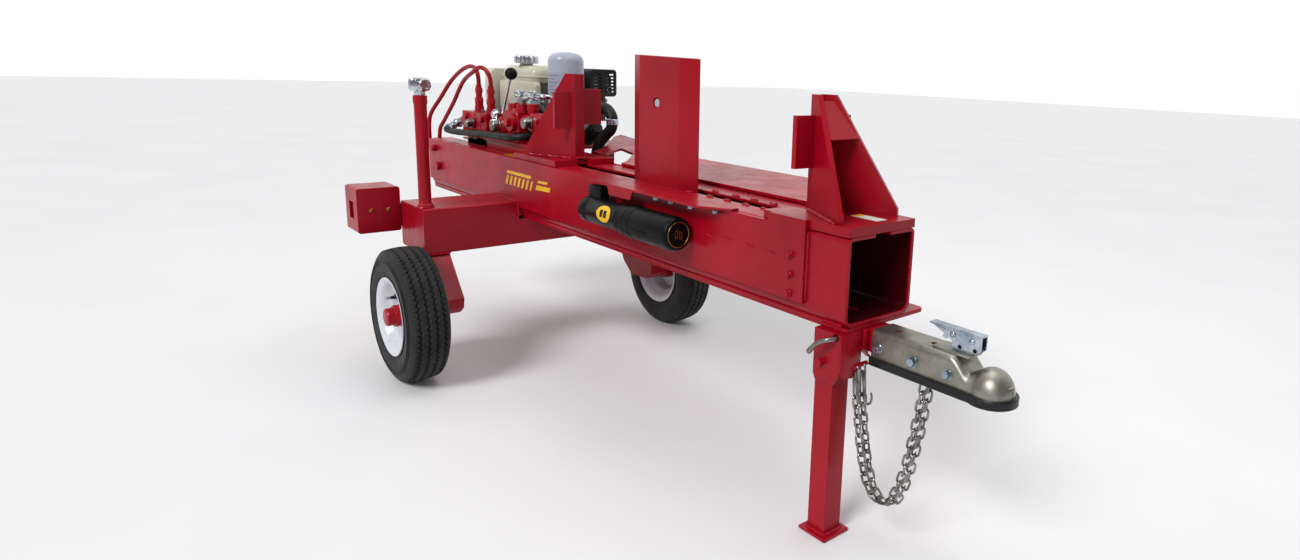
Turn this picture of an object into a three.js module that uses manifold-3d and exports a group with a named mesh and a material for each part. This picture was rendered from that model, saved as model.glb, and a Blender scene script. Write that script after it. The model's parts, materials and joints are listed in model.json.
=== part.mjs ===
// Two-way log splitter on a two-wheel trailer, engine driven.
// Units are millimetres, +Z is up and +X points to the trailer hitch.
// Stations along the beam are measured from its hitch end, negative to the rear.

import * as THREE from 'three';
import { mergeVertices } from 'three/addons/utils/BufferGeometryUtils.js';
import Module from 'manifold-3d';

const wasm = await Module();
wasm.setup();

// ---------- Driving dimensions ----------
const HITCH_END = 976;      // hitch end of the beam, from the model's origin
const GAP = 0.3;            // clearance left where two pieces touch

const BEAM = { rear: -2250, half: 105, bottom: 474, top: 662, wall: 8, lip: 24 };
const BEAM_BENDS = { top: 13, bottom: 24 };
const FLOOR_PLATE = { bottom: 464, half: 98, flare: 161, flareLength: 62, corner: 14 };
const SIDE_PLATE = { front: -112, bottom: 502, thick: 10, step: -222, stepTop: 681 };

const FOOT = { base: 18.7, apexHalf: 17, plate: 12, topFlat: 36, toe: 18 };
const FRONT_FOOT = { face: -205, toe: -38, baseFrom: -252, baseTo: 0, top: 932, wings: [84, 84], lift: 0 };
const REAR_FOOT = { face: -1240, toe: -1430, baseFrom: -1490, baseTo: -1205, top: 945, wings: [78, 86], lift: 11 };
const WING = { low: 776, high: 888, thick: 12, setback: 12 };

const WEDGE = { at: -772, length: 300, thick: 45, bevel: 57, topFront: 1000, topRear: 1009, low: 640 };
const WEDGE_HOLE = { x: -784, z: 881, radius: 14.5, pin: 12 };
const CARRIAGE = { length: 330, half: 62, low: 596, high: 652 };

const RAM = { z: 560, outer: 66, bore: 57, rear: -2120, front: -1310, rod: 25, stem: 835 };
const PORT = { extendX: -2080, extendZ: 536, retractX: -1345, retractZ: 584, y: -81.5 };
const RAM_PIN = { x: -2142, radius: 12 };

const TABLE = { low: 664, thick: 9, near: 92, far: 398, front: -300, bend: -1135, rise: 0.08 };
const TANK = { front: -1440, rear: -1645, half: 424, low: 378, high: 523, wall: 5 };
const LEG = { inner: 346, outer: 412, topFront: -1448, topRear: -1606, low: 196 };

const WHEEL = { x: -1427, y: 484, radius: 207, width: 122, rim: 122, hub: 44 };
const LAMP = { front: -1638, depth: 122, inner: 426, outer: 556, low: 425, high: 569 };
const FILLER = { x: -1480, y: -402, radius: 18.5, top: 866 };

const CANISTER = { y: -162, z: 588, radius: 36, capRadius: 42, rear: -905, front: -484, split: -690 };
const GUARD = { rear: -912, front: -345, out: -160, thick: 6, lap: -95 };

const TONGUE = { rear: -118, front: 150, half: 30, low: 413.7, wall: 5 };
const COUPLER = { rear: 18, neck: 205, ball: 276, half: 38, low: 406, high: 468, dome: 43 };
const LATCH = { pivotX: 232, pivotZ: 496, lug: 10.5, lugHalf: 6, half: 10.5, thick: 3.2, pin: 4 };

const JACK = { x: -48, y: -81, tube: 25, wall: 4, top: 428, foot: 38.5, pivotZ: 396, pinZ: 455 };
const CHAIN = { radius: 7, rearX: -2, rearZ: 374, frontX: 150, frontZ: 388 };

const LEVER = { x: -1738, z: 776, boss: 9 };
const VALVE = { rear: -2040, front: -1790, near: -72, far: 8, low: 704, high: 792 };
const MANIFOLD = { rear: -1690, front: -1560, near: -62, far: 12, low: 738, high: 820 };
const FILTER = { x: -1541, y: 118, radius: 63, low: 806, high: 1015 };
const ENGINE = { rear: -2190, front: -1720, mid: 232, far: 420, base: 676, shaft: 812 };
const LINE = { steel: 9, hose: 12, suction: 22 };

// ---------- Finishes ----------
const FINISH = {
  red: [0x9c0d24, 0.3, 0.15],
  black: [0x17181a, 0.5, 0.0],
  blackMetal: [0x1c1d1f, 0.5, 0.5],
  rubber: [0x202123, 0.8, 0.0],
  white: [0xe9e9e6, 0.4, 0.1],
  cream: [0xdcd9c6, 0.35, 0.0],
  zinc: [0xb9bcbc, 0.35, 0.9],
  grey: [0x8c8b84, 0.45, 0.6],
  steel: [0x9da0a2, 0.3, 0.9],
  lens: [0xc21a1a, 0.2, 0.0],
};

const splitter = new THREE.Group();
const machine = new THREE.Group();
machine.position.x = HITCH_END;
splitter.add(machine);

// ---------- Helpers ----------
function add(name, geometry, finish) {
  const [color, roughness, metalness] = FINISH[finish];
  const mesh = new THREE.Mesh(geometry, new THREE.MeshStandardMaterial({ color, roughness, metalness }));
  mesh.name = name;
  machine.add(mesh);
  return mesh;
}

function toSolid(geometry) {
  const bare = geometry.clone();
  bare.deleteAttribute('normal');
  bare.deleteAttribute('uv');
  const merged = mergeVertices(bare, 1e-4);
  const vertProperties = new Float32Array(merged.attributes.position.array);
  const triVerts = new Uint32Array(merged.index.array);
  return new wasm.Manifold(new wasm.Mesh({ numProp: 3, vertProperties, triVerts }));
}

function toGeometry(solid) {
  const mesh = solid.getMesh();
  const geometry = new THREE.BufferGeometry();
  geometry.setAttribute('position', new THREE.BufferAttribute(new Float32Array(mesh.vertProperties), 3));
  geometry.setIndex(new THREE.BufferAttribute(new Uint32Array(mesh.triVerts), 1));
  geometry.computeVertexNormals();
  return geometry;
}

function join(...pieces) {
  return toGeometry(pieces.map(toSolid).reduce((sum, piece) => sum.add(piece)));
}

function cut(body, ...tools) {
  return toGeometry(tools.map(toSolid).reduce((rest, tool) => rest.subtract(tool), toSolid(body)));
}

function box(x0, x1, y0, y1, z0, z1) {
  const geometry = new THREE.BoxGeometry(x1 - x0, y1 - y0, z1 - z0);
  return geometry.translate((x0 + x1) / 2, (y0 + y1) / 2, (z0 + z1) / 2);
}

// Extrudes an outline drawn in one plane along the axis left over: 'xy' along Z, 'xz' along Y, 'yz' along X.
function prism(outline, plane, from, to, curveSegments = 5) {
  const shape = outline instanceof THREE.Shape ? outline : shapeOf(outline);
  const settings = { depth: to - from, bevelEnabled: false, curveSegments };
  const geometry = new THREE.ExtrudeGeometry(shape, settings);
  const X = new THREE.Vector3(1, 0, 0);
  const Y = new THREE.Vector3(0, 1, 0);
  const Z = new THREE.Vector3(0, 0, 1);
  const frame = new THREE.Matrix4();
  if (plane === 'yz') frame.makeBasis(Y, Z, X).setPosition(from, 0, 0);
  if (plane === 'xz') frame.makeBasis(X, Z, Y.clone().negate()).setPosition(0, to, 0);
  if (plane === 'xy') frame.makeBasis(X, Y, Z).setPosition(0, 0, from);
  return geometry.applyMatrix4(frame);
}

function shapeOf(points) {
  return new THREE.Shape(points.map(([u, v]) => new THREE.Vector2(u, v)));
}

// Rectangle with rounded corners, radius r, in the plane of the outline.
function roundedShape(u0, u1, v0, v1, r) {
  const shape = new THREE.Shape();
  shape.moveTo(u0 + r, v0);
  shape.lineTo(u1 - r, v0);
  shape.absarc(u1 - r, v0 + r, r, -Math.PI / 2, 0);
  shape.lineTo(u1, v1 - r);
  shape.absarc(u1 - r, v1 - r, r, 0, Math.PI / 2);
  shape.lineTo(u0 + r, v1);
  shape.absarc(u0 + r, v1 - r, r, Math.PI / 2, Math.PI);
  shape.lineTo(u0, v0 + r);
  shape.absarc(u0 + r, v0 + r, r, Math.PI, Math.PI * 1.5);
  return shape;
}

// Solid of revolution: profile of [radius, station] pairs about the given axis through (x, y, z).
function turned(profile, axis, x, y, z, segments = 28) {
  const points = profile.map(([radius, station]) => new THREE.Vector2(radius, station));
  const geometry = new THREE.LatheGeometry(points, segments);
  if (axis === 'x') geometry.rotateZ(-Math.PI / 2);
  if (axis === 'z') geometry.rotateX(Math.PI / 2);
  return geometry.translate(x, y, z);
}

function rod(radius, from, to, axis, x, y, z, segments = 16) {
  return turned([[0, from], [radius, from], [radius, to], [0, to]], axis, x, y, z, segments);
}

function ring(outer, inner, from, to, axis, x, y, z, segments = 28) {
  const profile = [[inner, from], [outer, from], [outer, to], [inner, to], [inner, from]];
  return turned(profile, axis, x, y, z, segments);
}

function tube(points, radius, steps, sides = 8) {
  const path = new THREE.CatmullRomCurve3(points.map((p) => new THREE.Vector3(...p)), false, 'centripetal');
  const section = new THREE.Shape();
  for (let i = 0; i < sides; i += 1) {
    const angle = (i / sides) * Math.PI * 2;
    const [u, v] = [Math.cos(angle) * radius, Math.sin(angle) * radius];
    if (i === 0) section.moveTo(u, v);
    else section.lineTo(u, v);
  }
  return new THREE.ExtrudeGeometry(section, { steps, extrudePath: path, bevelEnabled: false });
}

function mirrorY(geometry) {
  const solid = toSolid(geometry);
  return toGeometry(solid.mirror([0, 1, 0]));
}

const hexagon = (radius, from, to, axis, x, y, z) => rod(radius, from, to, axis, x, y, z, 6);

// ---------- Beam ----------
function beamChannel() {
  const { half, bottom, top, wall, lip } = BEAM;
  const shape = new THREE.Shape();
  const outer = BEAM_BENDS;
  shape.moveTo(lip, top);
  shape.lineTo(half - outer.top, top);
  shape.absarc(half - outer.top, top - outer.top, outer.top, Math.PI / 2, 0, true);
  shape.lineTo(half, bottom + outer.bottom);
  shape.absarc(half - outer.bottom, bottom + outer.bottom, outer.bottom, 0, -Math.PI / 2, true);
  shape.lineTo(-half + outer.bottom, bottom);
  shape.absarc(-half + outer.bottom, bottom + outer.bottom, outer.bottom, -Math.PI / 2, -Math.PI, true);
  shape.lineTo(-half, top - outer.top);
  shape.absarc(-half + outer.top, top - outer.top, outer.top, Math.PI, Math.PI / 2, true);
  shape.lineTo(-lip, top);
  shape.lineTo(-lip, top - wall);
  const inTop = outer.top - wall;
  const inLow = outer.bottom - wall;
  const reach = half - wall;
  shape.lineTo(-reach + inTop, top - wall);
  shape.absarc(-reach + inTop, top - wall - inTop, inTop, Math.PI / 2, Math.PI, false);
  shape.lineTo(-reach, bottom + wall + inLow);
  shape.absarc(-reach + inLow, bottom + wall + inLow, inLow, -Math.PI, -Math.PI / 2, false);
  shape.lineTo(reach - inLow, bottom + wall);
  shape.absarc(reach - inLow, bottom + wall + inLow, inLow, -Math.PI / 2, 0, false);
  shape.lineTo(reach, top - wall - inTop);
  shape.absarc(reach - inTop, top - wall - inTop, inTop, 0, Math.PI / 2, false);
  shape.lineTo(lip, top - wall);
  const channel = prism(shape, 'yz', BEAM.rear, 0, 4);
  const pinHole = rod(RAM_PIN.radius + GAP, -half - 20, half + 20, 'y', RAM_PIN.x, 0, RAM.z);
  return cut(channel, pinHole);
}

function floorPlate() {
  const { half, flare, flareLength, corner, bottom } = FLOOR_PLATE;
  const shape = new THREE.Shape();
  shape.moveTo(BEAM.rear, -half);
  shape.lineTo(0, -half);
  shape.lineTo(0, flare - corner);
  shape.absarc(-corner, flare - corner, corner, 0, Math.PI / 2, false);
  shape.lineTo(-flareLength, flare);
  shape.lineTo(-flareLength - (flare - half), half);
  shape.lineTo(BEAM.rear, half);
  return prism(shape, 'xy', bottom, BEAM.bottom - GAP);
}

function sidePlate(side) {
  const { front, bottom, thick, step, stepTop } = SIDE_PLATE;
  const inner = BEAM.half + GAP;
  const near = side < 0;
  const outline = [[BEAM.rear, bottom], [front, bottom], [front, near ? stepTop : BEAM.top]];
  if (near) outline.push([step, stepTop], [step - 6, BEAM.top]);
  outline.push([BEAM.rear, BEAM.top]);
  const plate = prism(outline, 'xz', near ? -inner - thick : inner, near ? -inner : inner + thick);
  return cut(plate, rod(RAM_PIN.radius + GAP, -140, 140, 'y', RAM_PIN.x, 0, RAM.z));
}

// ---------- Footplates ----------
// One splayed plate of a footplate: from the log face to its toe at the edge of the base plate.
function gusset(face, toe, top, side) {
  const low = BEAM.top + GAP + FOOT.base - 2;
  const spread = BEAM.half - 8 - FOOT.apexHalf;
  const length = Math.hypot(toe - face, spread);
  const outline = [[0, low], [length, low], [length, low + FOOT.toe], [FOOT.topFlat, top], [0, top]];
  const plate = prism(outline, 'xz', -FOOT.plate / 2, FOOT.plate / 2);
  plate.rotateZ(Math.atan2(side * spread, toe - face));
  return plate.translate(face, side * (FOOT.apexHalf - FOOT.plate / 2), 0);
}

function footplate({ face, toe, baseFrom, baseTo, top, wings, lift }) {
  const toward = Math.sign(toe - face);
  const at = (distance) => face + toward * distance;
  const between = (a, b) => [Math.min(at(a), at(b)), Math.max(at(a), at(b))];
  const low = BEAM.top + GAP;
  const solid = prism(roundedShape(baseFrom, baseTo, -BEAM.half, BEAM.half, 3), 'xy', low, low + FOOT.base, 2);
  const notch = box(...between(-80, -2), -BEAM.lip - 2, BEAM.lip + 2, low - 5, low + FOOT.base + 5);
  const base = cut(solid, notch);
  const faceBar = box(...between(0, FOOT.plate), -FOOT.apexHalf, FOOT.apexHalf, low + FOOT.base / 2, top - 0.5);
  const wingSpan = between(WING.setback, WING.setback + WING.thick);
  const nearWing = box(...wingSpan, -wings[0], 0, WING.low, WING.high);
  const farWing = box(...wingSpan, -2, wings[1], WING.low + lift, WING.high + lift);
  const webTop = top - 14;
  const webRun = Math.abs(toe - face) * 0.52;
  const web = [
    [at(20), webTop], [at(FOOT.topFlat), webTop], [at(webRun), webTop - 76], [at(webRun - 9), webTop - 80],
    [at(20), webTop - 9],
  ];
  const webPlate = prism(toward > 0 ? web : web.reverse(), 'xz', -44, 44);
  const spreadAt = BEAM.half - 8;
  const plan = [[face, -FOOT.apexHalf], [toe, -spreadAt], [toe, spreadAt], [face, FOOT.apexHalf]];
  const envelope = prism(toward > 0 ? plan : plan.reverse(), 'xy', low, top);
  const trimmedWeb = toGeometry(toSolid(webPlate).intersect(toSolid(envelope)));
  const plates = [gusset(face, toe, top, -1), gusset(face, toe, top, 1)];
  return join(base, ...plates, faceBar, nearWing, farWing, trimmedWeb);
}

// ---------- Wedge and ram ----------
function wedgePlate() {
  const { at, length, thick, bevel, topFront, topRear, low } = WEDGE;
  const end = length / 2;
  const half = thick / 2;
  const tip = 1;
  const plan = [
    [at - end, -tip], [at - end + bevel, -half], [at + end - bevel, -half], [at + end, -tip],
    [at + end, tip], [at + end - bevel, half], [at - end + bevel, half], [at - end, tip],
  ];
  const blade = prism(plan, 'xy', low, topRear + 5);
  const crown = [
    [at - end - 5, topRear], [at + end + 5, topFront], [at + end + 5, topRear + 20], [at - end - 5, topRear + 20],
  ];
  const crownCut = prism(crown, 'xz', -half - 5, half + 5);
  const hole = rod(WEDGE_HOLE.radius, -half - 5, half + 5, 'y', WEDGE_HOLE.x, 0, WEDGE_HOLE.z);
  const seat = box(at - CARRIAGE.length, at + CARRIAGE.length, -60, 60, low - 60, CARRIAGE.high + GAP);
  return cut(blade, crownCut, hole, seat);
}

function wedgePin() {
  const { x, z, pin } = WEDGE_HOLE;
  const half = WEDGE.thick / 2;
  const shank = rod(pin, -half + 3, half - 3, 'y', x, 0, z);
  const collar = rod(WEDGE_HOLE.radius - GAP, -6, 6, 'y', x, 0, z);
  return join(shank, collar);
}

function wedgeCarriage() {
  const { length, half, low, high } = CARRIAGE;
  const x0 = WEDGE.at - length / 2;
  const slider = box(x0, x0 + length, -half, half, low, high);
  const lug = box(x0 - 46, x0 + 4, -40, 40, low - 70, high - 10);
  const skirt = box(x0 - 46, x0 + 60, -40, 40, low - 70, low + 4);
  const socket = rod(RAM.rod + 2 * GAP, -47, -6, 'x', x0, 0, RAM.z, 24);
  return cut(join(slider, lug, skirt), socket);
}

function ramBarrel() {
  const { outer, bore, rear, front, z } = RAM;
  const shell = turned([
    [0, rear], [outer, rear], [outer, front], [bore, front], [bore, rear + 24], [0, rear + 24],
  ], 'x', 0, 0, z, 24);
  const eye = box(rear - 52, rear + 4, -30, 30, z - 26, z + 26);
  const block = (x, zPort) => box(x + GAP, x + 33, PORT.y - 12, -outer * 0.7, zPort - 13, zPort + 13);
  const body = join(shell, eye, block(PORT.extendX, PORT.extendZ), block(PORT.retractX, PORT.retractZ));
  const pinHole = rod(RAM_PIN.radius + GAP, -40, 40, 'y', RAM_PIN.x, 0, z);
  const room = rod(bore + 0.05, rear + 30, front + 5, 'x', 0, 0, z, 24);
  return cut(body, pinHole, room);
}

function ramGland() {
  const { outer, bore, front, z } = RAM;
  const inner = RAM.rod + GAP;
  return turned([
    [inner, front - 30], [bore - GAP, front - 30], [bore - GAP, front + GAP], [outer, front + GAP],
    [outer, front + 14], [inner, front + 14], [inner, front - 30],
  ], 'x', 0, 0, z, 24);
}

function ramRod() {
  const tip = WEDGE.at - CARRIAGE.length / 2 - 7;
  const piston = tip - RAM.stem;
  return turned([
    [0, piston], [RAM.bore - GAP, piston], [RAM.bore - GAP, piston + 34], [RAM.rod, piston + 34],
    [RAM.rod, tip - 4], [RAM.rod - 4, tip], [0, tip],
  ], 'x', 0, 0, RAM.z, 24);
}

function ramPin() {
  const reach = BEAM.half + SIDE_PLATE.thick;
  const shank = rod(RAM_PIN.radius, -reach - 16, reach + 8, 'y', RAM_PIN.x, 0, RAM.z);
  const head = rod(RAM_PIN.radius + 5, -reach - 16, -reach - 3, 'y', RAM_PIN.x, 0, RAM.z);
  return join(shank, head);
}

// ---------- Log table ----------
// Flat plate beside the beam whose rear part climbs towards the engine and is notched on the beam's side.
function logTable() {
  const { low, thick, near, far, front, bend, rise } = TABLE;
  const flat = prism([[front, near], [front, far], [bend, far], [bend, near]].reverse(), 'xy', low, low + thick);
  const climb = [
    [bend + 4, near], [bend + 4, far], [-1633, far], [-1590, 340], [-1385, 178], [-1345, 107.5], [-1300, 107.5],
    [-1300, 132], [-1367, 233], [-1273, 223], [bend - 30, 128], [bend - 6, near],
  ];
  const ramp = prism(climb.reverse(), 'xy', low, low + thick);
  ramp.applyMatrix4(new THREE.Matrix4().set(1, 0, 0, 0, 0, 1, 0, 0, -rise, 0, 1, rise * bend, 0, 0, 0, 1));
  const inner = BEAM.half + SIDE_PLATE.thick + 2 * GAP;
  const bracket = (x) => prism([[inner, 560], [inner, low + 3], [360, low + 3], [360, low - 14]].reverse(), 'yz',
    x, x + 10);
  return join(flat, ramp, bracket(-500), bracket(-1060));
}

// ---------- Cross tank, axle legs and filler ----------
function crossTank() {
  const { front, rear, half, low, high, wall } = TANK;
  const side = BEAM.half + SIDE_PLATE.thick + 2 * GAP;
  const seat = FLOOR_PLATE.bottom - GAP;
  const shell = prism(roundedShape(rear, front, low, high, 8), 'xz', -half, half, 3);
  const saddle = box(rear - 5, front + 5, -side, side, seat, high + 5);
  const cavity = box(rear + wall, front - wall, -half + wall, half - wall, low + wall, high - wall);
  const deck = box(rear, front, -side - wall, side + wall, seat - wall, high);
  const oil = cut(cavity, deck);
  const neck = rod(FILLER.radius - 5, high - 30, high + 10, 'z', FILLER.x, FILLER.y, 0, 16);
  return cut(shell, saddle, oil, neck);
}

function axleLeg(side) {
  const { inner, outer, topFront, topRear, low } = LEG;
  const profile = [
    [topRear, TANK.low - GAP], [topFront, TANK.low - GAP], [-1340, 252], [-1346, low + 26], [-1374, low + 4],
    [-1476, low], [-1530, low + 44],
  ];
  const leg = prism(profile.reverse(), 'xz', inner, outer);
  const spindle = turned([
    [0, outer - 10], [19, outer - 10], [19, 450], [15, 450], [15, 527], [0, 527],
  ], 'y', WHEEL.x, 0, WHEEL.radius, 20);
  const whole = join(leg, spindle);
  return side < 0 ? mirrorY(whole) : whole;
}

function fillerPipe() {
  const { x, y, radius, top } = FILLER;
  const low = TANK.high + GAP;
  const inner = radius - 4;
  return turned([
    [inner, low], [radius + 5, low], [radius + 5, low + 9], [radius, low + 13], [radius, top - 26],
    [radius + 2, top - 24], [radius + 2, top], [inner, top], [inner, low],
  ], 'z', x, y, 0, 24);
}

function breatherCap() {
  const { x, y, top } = FILLER;
  const z = top + GAP;
  const neck = [[0, z - 18], [13, z - 18], [13, z], [16, z], [16, z + 12], [26, z + 14], [30, z + 19]];
  const dome = [[30, z + 44], [26, z + 51], [0, z + 53]];
  const cap = turned([...neck, ...dome], 'z', x, y, 0, 24);
  const vent = rod(17, 22, 54, 'x', x, y, z + 32, 18);
  return join(cap, vent);
}

// ---------- Wheels ----------
function tyre(side) {
  const { radius, width, rim: seat } = WHEEL;
  const half = width / 2;
  const bead = seat - 14;
  const outside = [
    [bead, -half + 18], [bead + 18, -half + 6], [bead + 50, -half], [radius - 24, -half + 4],
    [radius - 7, -half + 17], [radius, -half + 36],
  ];
  const outsideFar = outside.slice().reverse().map(([r, s]) => [r, -s]);
  const inside = [[bead + 14, half - 24], [bead + 44, half - 12], [radius - 14, half - 28]];
  const insideFar = inside.slice().reverse().map(([r, s]) => [r, -s]);
  const closed = [...outside, ...outsideFar, ...inside, ...insideFar, outside[0]];
  return turned(closed, 'y', WHEEL.x, side * WHEEL.y, radius, 32);
}

function rim(side) {
  const { rim: reach, width } = WHEEL;
  const edge = width / 2 - 18;
  const seat = reach - 15;
  const well = seat - 16;
  const section = [
    [34, 6], [72, 12], [well - 12, 4], [well - 12, -22], [seat - 12, -edge + 2], [seat - 4, -edge - 6],
    [seat + 14, -edge - 16], [seat + 14, -edge - 12], [seat - 1.4, -edge + 1], [seat - 8, -edge + 3],
    [well - 4, -24], [well - 4, 24], [seat - 8, edge - 3], [seat - 1.4, edge - 1], [seat + 14, edge + 12],
    [seat + 14, edge + 16], [seat - 4, edge + 6], [seat - 12, edge - 2], [well - 10, 24], [well - 9, 10],
    [72, 17], [34, 11], [34, 6],
  ];
  return place(side, [turned(section.map(([r, s]) => [r, s * side]), 'y', 0, 0, 0, 28)]);
}

// Puts pieces drawn about the wheel's centre at one wheel, joined, with their faces pointing out.
function place(side, pieces) {
  const solids = pieces.map((piece) => outward(piece));
  const whole = toGeometry(solids.reduce((sum, piece) => sum.add(piece)));
  return whole.translate(WHEEL.x, side * WHEEL.y, WHEEL.radius);
}

function outward(geometry) {
  const solid = toSolid(geometry);
  if (solid.volume() > 0) return solid;
  const flipped = geometry.clone();
  const index = flipped.index.array;
  for (let i = 0; i < index.length; i += 3) [index[i], index[i + 1]] = [index[i + 1], index[i]];
  return toSolid(flipped);
}

function hub(side) {
  const { hub: radius } = WHEEL;
  const out = 65;
  const profile = [
    [19.6, -30], [32, -30], [33, 0], [33.5, 11.5 + GAP], [radius - 4, 12.5 + GAP], [radius - 4, 22], [30, 24],
    [29, 46], [26, out - 3], [18, out], [0, out], [0, out - 5], [17, out - 6], [19.6, 44], [19.6, -30],
  ];
  const body = turned(profile.map(([r, s]) => [r, s * side]), 'y', 0, 0, 0, 20);
  return place(side, [body]);
}

// ---------- Tail lamps ----------
function lampBox(side) {
  const { front, depth, inner, outer, low, high } = LAMP;
  const shell = prism(roundedShape(inner, outer, low, high, 9), 'yz', front - depth, front, 3);
  const room = box(front - depth - 5, front - 6, inner + 6, outer - 6, low + 6, high - 6);
  const slotZ = (low + high) / 2;
  const slot = box(front - 82, front - 38, outer - 12, outer + 5, slotZ - 28, slotZ + 26);
  const link = box(front - 24, TANK.rear - GAP, inner - 70, inner + 2, low + 12, TANK.high - 12);
  const whole = join(cut(shell, room, slot), link);
  return side < 0 ? mirrorY(whole) : whole;
}

function lampLens(side) {
  const { front, depth, inner, outer, low, high } = LAMP;
  const gap = 6.5;
  const lens = box(front - depth + 2, front - depth + 26, inner + gap, outer - gap, low + gap, high - gap);
  const body = box(front - depth + 20, front - 34, inner + 14, outer - gap, low + 26, high - 26);
  const whole = join(lens, body);
  return side < 0 ? mirrorY(whole) : whole;
}

// ---------- Manual canister and its guard ----------
function canisterTube() {
  const { y, z, radius, rear, split } = CANISTER;
  const front = split + 60;
  const body = turned([
    [0, rear + 4], [radius - 5, rear], [radius, rear + 10], [radius, split - GAP], [radius - 4, split - GAP],
    [radius - 4, front], [radius - 7, front], [radius - 7, rear + 14], [0, rear + 14],
  ], 'x', 0, y, z, 24);
  const deep = BEAM.half + SIDE_PLATE.thick + GAP * 2;
  const foot = box(rear + 40, rear + 80, y + 8, -deep, z - 18, z + 18);
  const bore = rod(radius - 6, rear + 16, front, 'x', 0, y, z, 24);
  return join(body, cut(foot, bore));
}

function canisterCap() {
  const { y, z, capRadius: outer, radius, split, front } = CANISTER;
  const inner = radius - 4 + GAP;
  return turned([
    [inner, split], [outer - 3, split], [outer, split + 6], [outer, front - 6], [outer - 5, front],
    [0, front], [0, front - 5], [inner, front - 6], [inner, split],
  ], 'x', 0, y, z, 28);
}

function canisterGuard() {
  const { rear, front, out, thick, lap } = GUARD;
  const z = BEAM.top + GAP;
  const outline = [[rear, lap], [rear, out], [front - 75, out], [front, -BEAM.half - 12], [front, lap]];
  const top = prism(outline, 'xy', z, z + thick);
  const tab = prism([[-812, z + 2], [-800, z - 24], [-700, z - 24], [-686, z + 2]], 'xz', out, out + 5);
  return join(top, tab);
}

// ---------- Hitch ----------
function tongue() {
  const { rear, front, half, low, wall } = TONGUE;
  const top = FLOOR_PLATE.bottom - GAP;
  const bar = box(rear, front, -half, half, low, top);
  const hollow = box(rear - 5, front + 5, -half + wall, half - wall, low + wall, top - wall);
  return cut(bar, hollow);
}

function coupler() {
  const { rear, neck, ball, half, low, high, dome } = COUPLER;
  const flange = 7;
  const plan = (grow) => {
    const shape = new THREE.Shape();
    shape.moveTo(rear, -half - grow);
    shape.lineTo(neck, -half - grow);
    shape.absarc(ball, 0, dome + grow, -Math.PI * 0.55, Math.PI * 0.55, false);
    shape.lineTo(neck, half + grow);
    shape.lineTo(rear, half + grow);
    return shape;
  };
  const skirt = prism(plan(flange), 'xy', low - 8, low + 1, 6);
  const bar = prism(roundedShape(-half, half, low - 30, high, 10), 'yz', rear, ball - 6, 3);
  const side = [[rear, low], [ball - 6, low], [ball - 22, high - 16], [neck + 6, high - 2], [neck - 4, high + 1],
    [rear, high + 1]];
  const body = toGeometry(toSolid(bar).intersect(toSolid(prism(side, 'xz', -half, half))));
  const domeProfile = [[0, low - 5]];
  for (let i = 0; i <= 6; i += 1) {
    const angle = (i / 6) * (Math.PI / 2);
    domeProfile.push([dome * Math.cos(angle), low - 2 + 50 * Math.sin(angle)]);
  }
  domeProfile[7][0] = 0;
  const cup = turned(domeProfile, 'z', ball, 0, 0, 24);
  const roof = 3.5;
  const channel = box(rear - 5, neck - 15, -half + roof, half - roof, low - 20, high - roof);
  const socket = turned([[0, low - 20], [27, low - 20], [27, low + 8], [18, low + 26], [0, low + 31]],
    'z', ball, 0, 0, 20);
  const pad = box(neck - 52, neck + 40, -24, 24, high - 6, high + 3);
  const { pivotX, pivotZ, lug, lugHalf, pin } = LATCH;
  const post = box(pivotX - lug, pivotX + lug, -lugHalf, lugHalf, high - 4, pivotZ);
  const eye = rod(lug, -lugHalf, lugHalf, 'y', pivotX, 0, pivotZ);
  const pinHole = rod(pin + GAP, -15, 15, 'y', pivotX, 0, pivotZ, 12);
  return cut(join(body, skirt, cup, pad, post, eye), channel, socket, pinHole);
}

function couplerLatch() {
  const { pivotX, pivotZ, half, thick, pin } = LATCH;
  const seat = COUPLER.high + 3 + GAP;
  const cheek = [
    [pivotX - 98, 511], [pivotX - 62, 497], [pivotX - 66, 490], [pivotX - 58, 487], [pivotX - 50, 492],
    [pivotX - 42, 484], [pivotX - 46, seat + 4], [pivotX - 40, seat], [pivotX, seat], [pivotX + 13, seat + 4],
    [pivotX + 20, seat + 11], [pivotX + 20, 511],
  ];
  const near = prism(cheek, 'xz', -half, thick - half);
  const far = prism(cheek, 'xz', half - thick, half);
  const back = box(pivotX - 96, pivotX + 20, -half, half, 508, 512);
  return join(near, far, back, rod(pin, -half - 3, half + 3, 'y', pivotX, 0, pivotZ, 12));
}

// ---------- Jack stand ----------
function jackBracket() {
  const { x, y, tube: half } = JACK;
  const top = FLOOR_PLATE.bottom - GAP;
  const low = 352;
  const cheek = [
    [x - 26, top], [x - 26, low + 14], [x - 20, low], [x + 30, low], [x + 46, low + 26], [x + 46, top],
  ].reverse();
  const gap = half + 1.2;
  const near = prism(cheek, 'xz', y - gap - 6, y - gap);
  const far = prism(cheek, 'xz', y + gap, y + gap + 6);
  const web = box(x - 26, x + 46, y - gap - 6, y + gap + 6, top - 5, top);
  const pivot = rod(8, y - gap - 12, y + gap + 12, 'y', x, 0, JACK.pivotZ, 16);
  const pinHole = rod(7, y - 60, y + 60, 'y', x + 34, 0, JACK.pinZ, 16);
  return cut(join(near, far, web, pivot), pinHole);
}

function jackLeg() {
  const { x, y, tube: half, wall, top, foot } = JACK;
  const tubeBody = box(x - half, x + half, y - half, y + half, 4, top);
  const hollow = box(x - half + wall, x + half - wall, y - half + wall, y + half - wall, 12, top + 5);
  const plate = box(x - foot, x + foot, y - foot, y + foot, 0, 7);
  const pivotHole = rod(8.6, y - 40, y + 40, 'y', x, 0, JACK.pivotZ, 16);
  return cut(join(cut(tubeBody, hollow), plate), pivotHole);
}

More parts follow.
